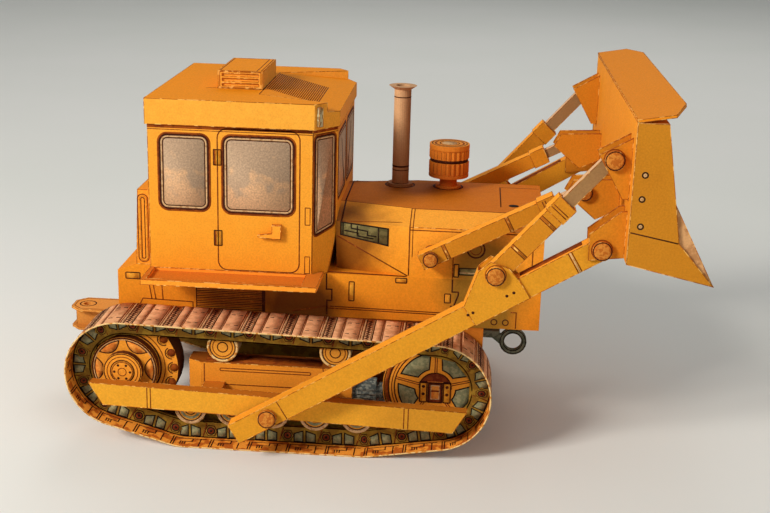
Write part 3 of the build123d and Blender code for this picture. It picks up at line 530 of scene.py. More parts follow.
def rounded(corners: Flat, radius: float, steps: int = 5) -> np.ndarray:
    """Outline with its corners rounded off, as points.

    At each corner the curve runs from a point one radius before it to a point one radius past it, as
    the blend (1-t)^2, 2t(1-t) and t^2 of the first point, the corner and the last point.

    Args:
        corners: Corners in order.
        radius: How far from the corners the curves start.
        steps: Steps in each corner.

    Returns:
        The outline.
    """
    spots = np.array(corners, float)
    before, after = np.roll(spots, 1, 0) - spots, np.roll(spots, -1, 0) - spots
    start = spots + before / np.hypot(*before.T)[:, None] * radius
    end = spots + after / np.hypot(*after.T)[:, None] * radius
    t = np.linspace(0, 1, steps + 1)[None, :, None]
    curve = (1 - t) ** 2 * start[:, None] + 2 * t * (1 - t) * spots[:, None] + t**2 * end[:, None]
    return curve.reshape(-1, 2)


def divided(path: np.ndarray, step: float, closed: bool) -> np.ndarray:
    """The same path with extra points, so that no run is longer than a step.

    The points are read at even lengths between the path's own points, which are all kept.

    Args:
        path: Points of the path.
        step: Longest run.
        closed: Whether the last point joins the first.

    Returns:
        The divided path.
    """
    ends = np.vstack([path, path[:1]]) if closed else path
    runs = np.hypot(*np.diff(ends, axis=0).T)
    parts = np.maximum(np.ceil(runs / step).astype(int), 1)
    first = np.repeat(np.arange(len(runs)), parts)
    share = np.concatenate([np.arange(n) / n for n in parts])[:, None]
    points = ends[first] * (1 - share) + ends[first + 1] * share
    return points if closed else np.vstack([points, path[-1:]])


def borders(path: np.ndarray, width: float, closed: bool) -> tuple[np.ndarray, np.ndarray]:
    """Left and right borders of a line of even width, mitred at its corners.

    At each point the border stands off along the sum of the two runs' normals, divided by one plus
    their dot product, times half the width.

    Args:
        path: Points of the line.
        width: Width of the line.
        closed: Whether the last point joins the first.

    Returns:
        The left and the right border.
    """
    runs = np.roll(path, -1, 0) - path
    if not closed:
        runs[-1] = runs[-2]
    normals = np.stack([-runs[:, 1], runs[:, 0]], 1) / np.hypot(*runs.T)[:, None]
    before = np.roll(normals, 1, 0)
    if not closed:
        before[0] = normals[0]
    dot = np.maximum((before * normals).sum(1), -0.6)[:, None]
    offset = (before + normals) / (1 + dot) * (width / 2)
    return path + offset, path - offset


# ---------------------------------------------------------------- surfaces that print lies on
@dataclass(frozen=True)
class Sheet:
    """Flat face of card, in metres: a point of it, the two directions that drawings use, and outwards."""

    origin: Triple
    across: Triple
    up: Triple
    out: Triple
    step: float | None = None

    def place(self, flat: np.ndarray, lift: float) -> np.ndarray:
        """Origin plus each drawing coordinate along its direction, plus the lift outwards."""
        spot = flat[..., :1] * np.array(self.across) + flat[..., 1:] * np.array(self.up)
        return np.array(self.origin) + (spot + lift * np.array(self.out)) * MM

    @property
    def turned(self) -> bool:
        """Whether the drawing's own outward side points into the card."""
        return float(np.cross(self.across, self.up) @ np.array(self.out)) < 0


@dataclass(frozen=True)
class Loop:
    """The track's outline: the shape that a tight belt takes round four rolls."""

    rolls: tuple[Triple, ...]
    samples: int = 7200

    def table(self) -> tuple[np.ndarray, np.ndarray, np.ndarray]:
        """Lengths along the belt, its points and its outward directions.

        In each direction the belt touches the roll that reaches furthest that way, and stands one
        radius from its centre.

        Returns:
            Length, points and direction in radians.
        """
        turn = np.linspace(0, 2 * math.pi, self.samples + 1)
        out, data = rays(turn), np.array(self.rolls)
        reach = out @ data[:, :2].T + data[:, 2]
        widest = data[reach.argmax(1)]
        points = widest[:, :2] + widest[:, 2:] * out
        length = np.concatenate([[0.0], np.cumsum(np.hypot(*np.diff(points, axis=0).T))])
        return length, points, turn

    def at(self, length: np.ndarray, depth: np.ndarray | float) -> tuple[np.ndarray, np.ndarray]:
        """Points at lengths along the belt, carried inwards by a depth.

        Args:
            length: Lengths from the front of the loop.
            depth: Depth under the outside of the belt.

        Returns:
            The points and the outward directions there.
        """
        table, points, turn = self.table()
        length = np.mod(length, table[-1])
        spot = np.stack([np.interp(length, table, points[:, i]) for i in (0, 1)], -1)
        out = rays(np.interp(length, table, turn))
        return spot - np.asarray(depth)[..., None] * out, out

    @property
    def length(self) -> float:
        """Length of the outside of the belt."""
        return float(self.table()[0][-1])


@dataclass(frozen=True)
class BeltSheet:
    """Surface of the belt. Drawings use the length along it and the distance across the machine."""

    loop: Loop
    shift: float
    depth: float
    inside: bool = False
    step: float | None = 1.2

    def place(self, flat: np.ndarray, lift: float) -> np.ndarray:
        """The belt's point at the drawing's length, at the drawing's distance across.

        Args:
            flat: Lengths and distances across in millimetres.
            lift: Height over the surface in millimetres.

        Returns:
            Points in metres.
        """
        depth = self.depth + (lift if self.inside else -lift)
        spot, _ = self.loop.at(flat[..., 0], np.full(flat.shape[:-1], depth))
        return np.stack([spot[..., 0] + self.shift, flat[..., 1], spot[..., 1]], -1) * MM

    @property
    def turned(self) -> bool:
        """Length runs counter-clockwise seen from the right, so the inner face is the turned one."""
        return self.inside


@dataclass(frozen=True)
class RingSheet:
    """Flat face of the link plates. Drawings use the length along the belt and the depth under it."""

    loop: Loop
    shift: float
    face: float
    out: float
    step: float | None = 1.2

    def place(self, flat: np.ndarray, lift: float) -> np.ndarray:
        """The belt's point at the drawing's length, carried in by its depth.

        Args:
            flat: Lengths and depths in millimetres.
            lift: Height over the face in millimetres.

        Returns:
            Points in metres.
        """
        spot, _ = self.loop.at(flat[..., 0], flat[..., 1])
        side = np.full(flat.shape[:-1], self.face + self.out * lift)
        return np.stack([spot[..., 0] + self.shift, side, spot[..., 1]], -1) * MM

    @property
    def turned(self) -> bool:
        """Length and inward depth turn one way seen from the left and the other from the right."""
        return self.out > 0


@dataclass(frozen=True)
class PostSheet:
    """Wall of an upright roll. Drawings use the turn in degrees and the height."""

    centre: Spot
    radius: float
    step: float | None = 8.0
    turned: bool = False

    def place(self, flat: np.ndarray, lift: float) -> np.ndarray:
        """The wall's point at the drawing's turn and height.

        Args:
            flat: Turns in degrees and heights in millimetres.
            lift: Height over the wall in millimetres.

        Returns:
            Points in metres.
        """
        turn, radius = np.radians(flat[..., 0]), self.radius + lift
        x = self.centre[0] + radius * np.cos(turn)
        return np.stack([x, self.centre[1] + radius * np.sin(turn), flat[..., 1]], -1) * MM


AnySheet = Sheet | BeltSheet | RingSheet | PostSheet
Bars = Sequence[tuple[float, Ink, float]]


class Mesh:
    """Vertices and faces of one piece, gathered from closed shapes."""

    def __init__(self) -> None:
        """Start empty."""
        self.points: list[np.ndarray] = []
        self.corners: list[np.ndarray] = []
        self.sizes: list[np.ndarray] = []
        self.count = 0

    def add(self, points: np.ndarray, faces: Sequence[np.ndarray], turned: bool) -> None:
        """Add one closed shape.

        Args:
            points: Its points, three numbers each.
            faces: Arrays of faces, each with the same number of corners in every row.
            turned: Whether its faces have to be turned over.
        """
        self.points.append(points.reshape(-1, 3))
        for rows in faces:
            rows = rows[:, ::-1] if turned else rows
            self.corners.append(rows.reshape(-1) + self.count)
            self.sizes.append(np.full(len(rows), rows.shape[1]))
        self.count += len(self.points[-1])

    def build(self, name: str) -> bpy.types.Object:
        """Blender object at the origin with all the shapes in it.

        Args:
            name: Name of the piece.

        Returns:
            The object, linked to the scene.
        """
        mesh = bpy.data.meshes.new(name)
        sizes = np.concatenate(self.sizes).astype(np.int32)
        mesh.vertices.add(self.count)
        mesh.vertices.foreach_set("co", np.concatenate(self.points).astype(np.float32).reshape(-1))
        mesh.loops.add(int(sizes.sum()))
        mesh.loops.foreach_set("vertex_index", np.concatenate(self.corners).astype(np.int32))
        mesh.polygons.add(len(sizes))
        mesh.polygons.foreach_set("loop_start", np.concatenate([[0], np.cumsum(sizes)[:-1]]).astype(np.int32))
        mesh.polygons.foreach_set("loop_total", sizes)
        mesh.update(calc_edges=True)
        mesh.validate()
        piece = bpy.data.objects.new(name, mesh)
        bpy.context.scene.collection.objects.link(piece)
        return piece


def tube_faces(rows: int, around: int, closed: bool) -> list[np.ndarray]:
    """Faces of a profile of some points carried along some rows.

    Row by row, each profile point joins the next one and the same two of the next row.

    Args:
        rows: Places along the path.
        around: Points of the profile.
        closed: Whether the last place joins the first.

    Returns:
        The side faces, and the two end faces of an open path.
    """
    row = np.arange(rows if closed else rows - 1)[:, None]
    point = np.arange(around)[None, :]
    here, ahead = row * around, (row + 1) % rows * around
    after = (point + 1) % around
    sides = np.stack([here + point, ahead + point, ahead + after, here + after], -1).reshape(-1, 4)
    if closed:
        return [sides]
    last = (rows - 1) * around
    return [sides, np.arange(around)[None, :], last + np.arange(around)[None, ::-1]]


@dataclass
class Print:
    """Line work of one body: thin closed slips of ink on the faces of the card."""

    palette: Palette
    lift: float = 0.03
    meshes: dict[Ink, Mesh] = field(default_factory=dict)

    def mesh(self, ink: Ink) -> Mesh:
        """The mesh that gathers one ink."""
        return self.meshes.setdefault(ink, Mesh())

    def line(
        self, sheet: AnySheet, path: Flat | np.ndarray, ink: Ink = Ink.LINE, width: float = 0.3,
        closed: bool = False, layer: int = 1,
    ) -> None:
        """A line of ink: a flat rectangle carried along the path, its top over the card and its foot in it.

        Args:
            sheet: Face that it lies on.
            path: Its points.
            ink: Its ink.
            width: Its width.
            closed: Whether the last point joins the first.
            layer: How many slips high it lies.
        """
        points = np.array(path, float)
        if sheet.step:
            points = divided(points, sheet.step, closed)
        left, right = borders(points, width, closed)
        top, foot = self.lift * layer, -self.lift
        edges = ((right, top), (left, top), (left, foot), (right, foot))
        rows = np.stack([sheet.place(edge, height) for edge, height in edges], 1)
        self.mesh(ink).add(rows, tube_faces(len(points), 4, closed), sheet.turned)

    def lines(self, sheet: AnySheet, paths: Sequence[Flat], ink: Ink = Ink.LINE, width: float = 0.3) -> None:
        """Several open lines of one ink and width."""
        for path in paths:
            self.line(sheet, path, ink, width)

    def bars(self, sheet: AnySheet, start: float, end: float, bars: Bars) -> None:
        """Lines along the second direction, from start to end, each with its place, ink and width."""
        for at, ink, width in bars:
            self.line(sheet, [(at, start), (at, end)], ink, width)

    def patch(self, sheet: AnySheet, outline: Flat | np.ndarray, ink: Ink, layer: int = 1) -> None:
        """A filled shape: its counter-clockwise outline over the card and the same outline in it.

        Args:
            sheet: Face that it lies on.
            outline: Its points.
            ink: Its ink.
            layer: How many slips high it lies.
        """
        points = np.array(outline, float)
        ahead = np.roll(points, -1, 0)
        if (points[:, 0] * ahead[:, 1] - points[:, 1] * ahead[:, 0]).sum() < 0:
            points = points[::-1]
        count = len(points)
        rows = np.stack([sheet.place(points, self.lift * layer), sheet.place(points, -self.lift)])
        here, after = np.arange(count), (np.arange(count) + 1) % count
        sides = np.stack([here, here + count, after + count, after], 1)
        faces = [here[None, :], (here + count)[None, ::-1], sides]
        self.mesh(ink).add(rows, faces, sheet.turned)

    def framed(
        self, sheet: AnySheet, outline: Flat | np.ndarray, fill: Ink, edge: Ink = Ink.DARK,
        width: float = 0.3, layer: int = 1,
    ) -> None:
        """A filled shape with a line round it, one slip higher."""
        self.patch(sheet, outline, fill, layer)
        self.line(sheet, outline, edge, width, closed=True, layer=layer + 1)

    def tile(self, sheet: AnySheet, low: Spot, high: Spot, ink: Ink) -> None:
        """A filled rectangle that bends with its sheet, as a broad line along the first direction."""
        middle = (low[1] + high[1]) / 2
        self.line(sheet, [(low[0], middle), (high[0], middle)], ink, abs(high[1] - low[1]))

    def rings(self, sheet: AnySheet, centre: Spot, rings: Bars) -> None:
        """Concentric circles, each with its radius, ink and width."""
        for radius, ink, width in rings:
            self.line(sheet, circle(centre, radius, 12 + int(radius * 3)), ink, width, closed=True)

    def dots(self, sheet: AnySheet, centres: Sequence[Spot], radius: float, ink: Ink, layer: int = 1) -> None:
        """Round dots of one size."""
        for centre in centres:
            self.patch(sheet, circle(centre, radius, 12), ink, layer)

    def dome(self, sheet: Sheet, radius: float, height: float, around: int = 20) -> None:
        """A domed cap: rings of points whose height falls as a quarter oval from the middle to the rim.

        Args:
            sheet: Face that it stands on, round the face's own origin.
            radius: Radius of its rim.
            height: Height of its middle.
            around: Points in each ring.
        """
        turn = np.linspace(0, math.pi / 2, 6)[:-1]
        sizes = np.concatenate([[radius], radius * np.cos(turn)])
        heights = np.concatenate([[-self.lift], height * np.sin(turn)])
        rows = [sheet.place(circle(HUB, size, around), rise) for size, rise in zip(sizes, heights)]
        self.mesh(Ink.KNOB).add(np.stack(rows), tube_faces(len(rows), around, False), not sheet.turned)

    def finish(self, name: str, body: str, slot: str) -> None:
        """Make one piece of each ink and let it ride.

        Args:
            name: First part of the pieces' names.
            body: Body that they ride on.
            slot: Not used.
        """
        for ink, mesh in self.meshes.items():
            piece = mesh.build(f"{name}_{ink.value.name}")
            piece.data.materials.append(self.palette.of(ink))
            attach(piece, body)


# ---------------------------------------------------------------- the frame
class Side(Enum):
    """Sides of the machine, as the sign of y."""

    LEFT = 1
    RIGHT = -1

    @property
    def word(self) -> str:
        """The side's name as the nodes use it."""
        return self.name.lower()


class Frame:
    """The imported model, and the faces that are read from it."""

    def __init__(self, hull_front: float = 74.0) -> None:
        """Load the frame and find how far it is shifted along x.

        Args:
            hull_front: Front of the hull in the machine's own frame.
        """
        self.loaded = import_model()
        self.cad_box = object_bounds()
        self.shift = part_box("hull")[1].x / MM - hull_front

    def low(self, node: str, axis: int) -> float:
        """Lowest coordinate of a node in millimetres, with x in the machine's own frame."""
        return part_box(node)[0][axis] / MM - (self.shift if axis == 0 else 0.0)

    def high(self, node: str, axis: int) -> float:
        """Highest coordinate of a node in millimetres, with x in the machine's own frame."""
        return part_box(node)[1][axis] / MM - (self.shift if axis == 0 else 0.0)

    def flank(self, side: Side, y: float, origin: Spot = HUB, angle: float = 0.0) -> Sheet:
        """Upright face along the machine, drawn from a place on it along an angle and square to that.

        Args:
            side: Side of the machine.
            y: Distance of the face from the middle.
            origin: Where the drawing starts, in x and z.
            angle: Angle in degrees that its first direction rises by.

        Returns:
            The face.
        """
        c, s = rays(math.radians(angle)).tolist()
        place = ((self.shift + origin[0]) * MM, side.value * y * MM, origin[1] * MM)
        return Sheet(place, (c, 0, s), (-s, 0, c), (0, side.value, 0))

    def across(self, x: float, out: int) -> Sheet:
        """Upright face across the machine, drawn in y and z, that looks forward or back."""
        return Sheet(((self.shift + x) * MM, 0.0, 0.0), (0, 1, 0), (0, 0, 1), (out, 0, 0))

    def level(self, z: float, out: int = 1) -> Sheet:
        """Level face, drawn in x and y, that looks up or down."""
        return Sheet((self.shift * MM, 0.0, z * MM), (1, 0, 0), (0, 1, 0), (0, 0, out))

    def leaning(self, first: Triple, second: Triple, third: Triple, out: Triple) -> Sheet:
        """Face through three points: drawn from the first, along to the second and square to that.

        Args:
            first: Where the drawing's origin lies.
            second: Point that the first direction runs to.
            third: Any other point of the face, on its upper side.
            out: Rough outward direction.

        Returns:
            The face.
        """
        a, b, c = (np.array(p, float) for p in (first, second, third))
        along = (b - a) / np.linalg.norm(b - a)
        up = (c - a) - ((c - a) @ along) * along
        up /= np.linalg.norm(up)
        normal = np.cross(along, up)
        normal *= np.sign(normal @ np.array(out, float))
        origin = (a + (self.shift, 0, 0)) * MM
        return Sheet(tuple(origin), tuple(along), tuple(up), tuple(normal))

    def dress(self, finish: bpy.types.Material, *nodes: str) -> None:
        """Give CAD nodes a finish.

        Args:
            finish: Material.
            *nodes: Names of the nodes.
        """
        for node in nodes:
            materials = self.loaded["nodes"][node].data.materials
            materials.clear()
            materials.append(finish)


@dataclass
class Assembly:
    """What every printed sub-assembly needs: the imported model, the inks and its own line work."""

    frame: Frame
    palette: Palette
    ink: Print = field(init=False)

    def __post_init__(self) -> None:
        """Start the sub-assembly's own line work."""
        self.ink = Print(self.palette)


@dataclass
class Folds(Assembly):
    """Worn folds and cut edges of the card: a slim strip along every sharp edge of a node."""

    width: float = 0.22
    lift: float = 0.03
    sharp: float = 25.0

    def edges(self, node: str) -> tuple[np.ndarray, np.ndarray]:
        """Sharp edges of a CAD node, each with the middle of its two faces' directions.

        Two triangles share an edge where both of its ends coincide. The edge is sharp where the
        triangles' directions differ by more than the least angle. Hollow edges are left out: those
        where the second triangle's middle lies in front of the first triangle's plane.

        Args:
            node: Name of the node.

        Returns:
            Ends of the edges, and the unit directions between their faces.
        """
        mesh = self.frame.loaded["nodes"][node].data
        points = np.zeros(len(mesh.vertices) * 3, np.float32)
        mesh.vertices.foreach_get("co", points)
        points = points.reshape(-1, 3).astype(float)
        mesh.calc_loop_triangles()
        corners = np.zeros(len(mesh.loop_triangles) * 3, np.int32)
        mesh.loop_triangles.foreach_get("vertices", corners)
        keys, merged = np.unique(np.round(points * 1e6).astype(int), axis=0, return_inverse=True)
        merged = merged.reshape(-1)
        triangles = merged[corners.reshape(-1, 3)]
        places = keys * 1e-6
        a, b, c = (places[triangles[:, i]] for i in range(3))
        normals = np.cross(b - a, c - a)
        size = np.linalg.norm(normals, axis=1)
        keep = size > 1e-14
        triangles, normals = triangles[keep], normals[keep] / size[keep][:, None]
        ends = np.concatenate([triangles[:, [0, 1]], triangles[:, [1, 2]], triangles[:, [2, 0]]])
        owner = np.tile(np.arange(len(triangles)), 3)
        order = np.sort(ends, axis=1)
        code = order[:, 0].astype(np.int64) * (len(places) + 1) + order[:, 1]
        sort = np.argsort(code, kind="stable")
        same = code[sort][1:] == code[sort][:-1]
        first, second = owner[sort][:-1][same], owner[sort][1:][same]
        pair = order[sort][:-1][same]
        dot = (normals[first] * normals[second]).sum(1)
        sharp = dot < math.cos(math.radians(self.sharp))
        middle = normals[first] + normals[second]
        offset = (places[triangles[second]].mean(1) - places[triangles[first]].mean(1))
        hollow = (offset * normals[first]).sum(1) > 0
        sharp &= ~hollow & (np.linalg.norm(middle, axis=1) > 0.1)
        middle = middle[sharp] / np.linalg.norm(middle[sharp], axis=1)[:, None]
        return places[pair[sharp]], middle

    def strip(self, node: str, body: str, ink: Ink, slot: str) -> None:
        """Lay a three-sided strip along every sharp edge of a node.

        The strip's profile is a flat triangle whose two feet lie on the edge's two faces, half a width
        from the edge, and whose ridge stands just over the edge.

        Args:
            node: Name of the node.
            body: Body that it rides on.
            ink: Ink of the worn edge.
            slot: Not used.
        """
        ends, out = self.edges(node)
        if not len(ends):
            return
        along = ends[:, 1] - ends[:, 0]
        length = np.linalg.norm(along, axis=1)
        keep = length > 0.4 * MM
        ends, out, along = ends[keep], out[keep], along[keep] / length[keep][:, None]
        if not len(ends):
            return
        side = np.cross(along, out)
        half, lift = self.width / 2 * MM, self.lift * MM
        profile = np.stack([side * half - out * half, out * lift, -side * half - out * half], 1)
        rows = ends[:, :, None, :] + profile[:, None, :, :]
        count = len(ends)
        base = np.arange(count)[:, None] * 6
        sides = np.array([[0, 3, 4, 1], [1, 4, 5, 2], [2, 5, 3, 0]])
        caps = np.array([[0, 1, 2], [3, 5, 4]])
        mesh = Mesh()
        quads = (base[:, :, None] + sides[None]).reshape(-1, 4)
        tops = (base[:, :, None] + caps[None]).reshape(-1, 3)
        mesh.add(rows, [quads, tops], True)
        piece = mesh.build(f"{node}_folds")
        piece.data.materials.append(self.palette.of(ink))
        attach(piece, body)


# ---------------------------------------------------------------- sub-assemblies
@dataclass
class Cab(Assembly):
    """Closed cab: panes, doors, hinges and the roof's line work."""

    pane_rear: tuple[Spot, Spot] = ((-35.4, 67.9), (-21.2, 89.7))
    pane_door: tuple[Spot, Spot] = ((-17.3, 67.5), (3.0, 89.8))
    pane_radius: float = 2.4
    corner_pane: tuple[Spot, ...] = ((0.9, 61.4), (9.2, 63.4), (9.2, 90.4), (0.9, 90.4))
    pane_rings: tuple[tuple[float, Ink, float, int], ...] = (
        (-0.25, Ink.BROWN, 0.5, 1), (0.25, Ink.DARK, 0.55, 2),
        (0.75, Ink.PALE, 0.5, 1), (1.15, Ink.DARK, 0.28, 2),
    )
    screen_heights: Spot = (70.2, 89.6)
    rear_window: Triple = (3.0, 76.0, 89.6)
    door: tuple[Spot, Spot] = ((-18.8, 50.6), (4.5, 91.7))
    door_radius: float = 2.6
    hinge: Spot = (1.1, 2.2)
    hinge_heights: Spot = (83.5, 60.0)
    grips: Spot = (65.0, 50.6)
    corner: float = 8.0
    front: float = 14.2
    front_half: float = 24.0
    wall_top: float = 92.3
    knee: float = 61.7
    ramp_start: float = -9.0
    ramp_drop: float = 3.0
    slats: int = 27
    slat_rear: Triple = (-9.0, -9.6, 18.0)
    slat_front: Triple = (7.2, -19.4, 8.0)

    def pane(self, face: Sheet, outline: np.ndarray) -> None:
        """A pane: soft brown surround, dark line, pale frame, thin dark line and the clouded glass.

        Args:
            face: Face that it lies on.
            outline: Outline of the surround, counter-clockwise.
        """
        for inset, colour, width, layer in self.pane_rings:
            self.ink.line(face, borders(outline, 2 * inset, True)[0], colour, width, closed=True, layer=layer)
        self.ink.patch(face, borders(outline, 2 * self.pane_rings[-1][0], True)[0], Ink.PANE)

    def walls(self, side: Side) -> None:
        """One side wall and the slanting corner face beside it.

        Args:
            side: Side of the machine.
        """
        wall = self.frame.high("cab", 1)
        face = self.frame.flank(side, wall)
        rear, foot = self.frame.low("cab", 0), self.frame.low("cab", 2) + 0.35
        for pane in (self.pane_rear, self.pane_door):
            self.pane(face, round_box(*pane, self.pane_radius))
        self.ink.line(face, round_box(*self.door, self.door_radius), Ink.LINE, 0.34, closed=True)
        half, rise = self.hinge
        left, right = self.door[0][0] - half, self.door[0][0] + half
        for height in self.hinge_heights:
            self.ink.framed(face, round_box((left, height - rise), (right, height + rise), 0.1), Ink.GOLD)
            shade = [(left + 0.35, height - rise), (left + 0.35, height + rise)]
            self.ink.line(face, shade, Ink.BROWN, 0.5, layer=2)
        for low in self.grips:
            grip = round_box((self.corner - 1.9, low), (self.corner - 0.5, low + 5.0), 0.1)
            self.ink.line(face, grip, Ink.LINE, 0.24, closed=True)
        self.ink.line(face, [(rear + 0.3, foot), (self.corner, foot)], Ink.DARK, 0.4)
        self.eaves(face, rear, self.corner)
        seam = self.frame.leaning(
            (self.corner, side.value * wall, 0.0), (self.front, side.value * self.front_half, 0.0),
            (self.corner, side.value * wall, 10.0), (1.0, side.value, 0.0),
        )
        span = math.hypot(self.front - self.corner, wall - self.front_half)
        self.pane(seam, rounded(self.corner_pane, self.pane_radius * 0.6))
        self.ink.line(seam, [(0.25, self.knee - 11.0), (0.25, self.wall_top - 1.0)], Ink.LINE, 0.22)
        self.eaves(seam, 0.2, span)

    def eaves(self, face: Sheet, start: float, end: float) -> None:
        """Shade and double line under the roof, between two places along a wall."""
        self.ink.tile(face, (start, self.wall_top - 1.0), (end, self.wall_top), Ink.BROWN)
        self.ink.line(face, [(start, self.wall_top - 1.4), (end, self.wall_top - 1.4)], Ink.LINE, 0.2)

    def ends(self) -> None:
        """Windscreen with its two wipers, and the rear window over the tank."""
        screen = self.frame.across(self.front, 1)
        half = self.front_half
        for side in Side:
            s = side.value
            low, high = sorted((s * 1.0, s * (half - 1.6)))
            foot, head = self.screen_heights
            self.pane(screen, round_box((low, foot), (high, head), self.pane_radius))
            self.ink.line(screen, [(s * 4.0, 71.0), (s * 9.4, 78.6)], Ink.BLACK, 0.3, layer=3)
            self.ink.line(screen, [(s * 6.5, 72.0), (s * 13.5, 86.5)], Ink.BLACK, 0.5, layer=3)
        self.ink.line(screen, [(-half, self.knee + 0.3), (half, self.knee + 0.3)], Ink.LINE)
        back = self.frame.across(self.frame.low("cab", 0), -1)
        half = self.frame.high("cab", 1)
        inset, foot, head = self.rear_window
        self.pane(back, round_box((inset - half, foot), (half - inset, head), self.pane_radius))
        self.eaves(back, -half, half)

    def roof(self) -> None:
        """Fold and grille of the roof's ramp, and the lines on the ventilator."""
        top, end = self.frame.high("cab_roof", 2), self.frame.high("cab_roof", 0)
        deck = self.frame.level(top)
        bend = (self.ramp_start, 0.0, top)
        ramp = self.frame.leaning(
            bend, (end, 0.0, top - self.ramp_drop), (self.ramp_start, 10.0, top), (0, 0, 1)
        )
        self.ink.bars(deck, -20.0, 20.0, ((self.ramp_start, Ink.LINE, 0.24),))
        share = np.linspace(0, 1, self.slats)[:, None]
        slats = np.array(self.slat_rear) * (1 - share) + np.array(self.slat_front) * share
        for at, low, high in slats - (self.ramp_start - 0.6, 0.0, 0.0):
            self.ink.line(ramp, [(at, low), (at, high)])
        rear, front = self.frame.low("roof_vent", 0), self.frame.high("roof_vent", 0)
        low, half = self.frame.low("roof_vent", 2), self.frame.high("roof_vent", 1)
        lid, edge = self.frame.level(self.frame.high("roof_vent", 2)), half - 0.6
        foot = round_box((rear - 0.1, -half - 0.1), (front + 0.1, half + 0.1), 0.1)
        self.ink.line(deck, foot, closed=True)
        self.ink.line(deck, [(rear - 3.4, -half - 0.6), (rear - 0.4, -half + 1.4)])
        cover = round_box((rear + 0.6, -edge), (front - 1.8, edge), 0.3)
        self.ink.line(lid, cover, Ink.LINE, 0.24, closed=True)
        self.ink.bars(lid, -edge, edge, ((front - 0.6, Ink.LINE, 0.24),))
        for side in Side:
            slots = round_box((rear + 0.5, low + 0.35), (front - 0.5, low + 4.9), 0.2)
            self.ink.line(self.frame.flank(side, half), slots, Ink.FOLD, closed=True)

    def build(self) -> None:
        """Dress the cab, its roof, tray, lamps and handles, and print them."""
        frame = self.frame
        frame.dress(CardFinish("cab_card", (236, 158, 50), (238, 154, 38), 50.0, 92.0).build(), "cab")
        roof = CardFinish("roof_card", (240, 166, 58), (238, 164, 56), 92.0, 100.0, (240, 144, 14))
        frame.dress(roof.build(), "cab_roof", "roof_vent")
        trim = CardFinish("trim_card", (250, 160, 46), (248, 150, 44), 48.0, 66.0, (214, 116, 34))
        frame.dress(trim.build(), "step_tray_left", "step_tray_right", "door_handles")
        frame.dress(InkFinish("lamp_print", (186, 178, 142), (140, 112, 70), 0.4, 1.2).build(), "roof_lamps")
        for side in Side:
            self.walls(side)
        self.ends()
        self.roof()
        self.ink.finish("cab", "root", "yellow_card")


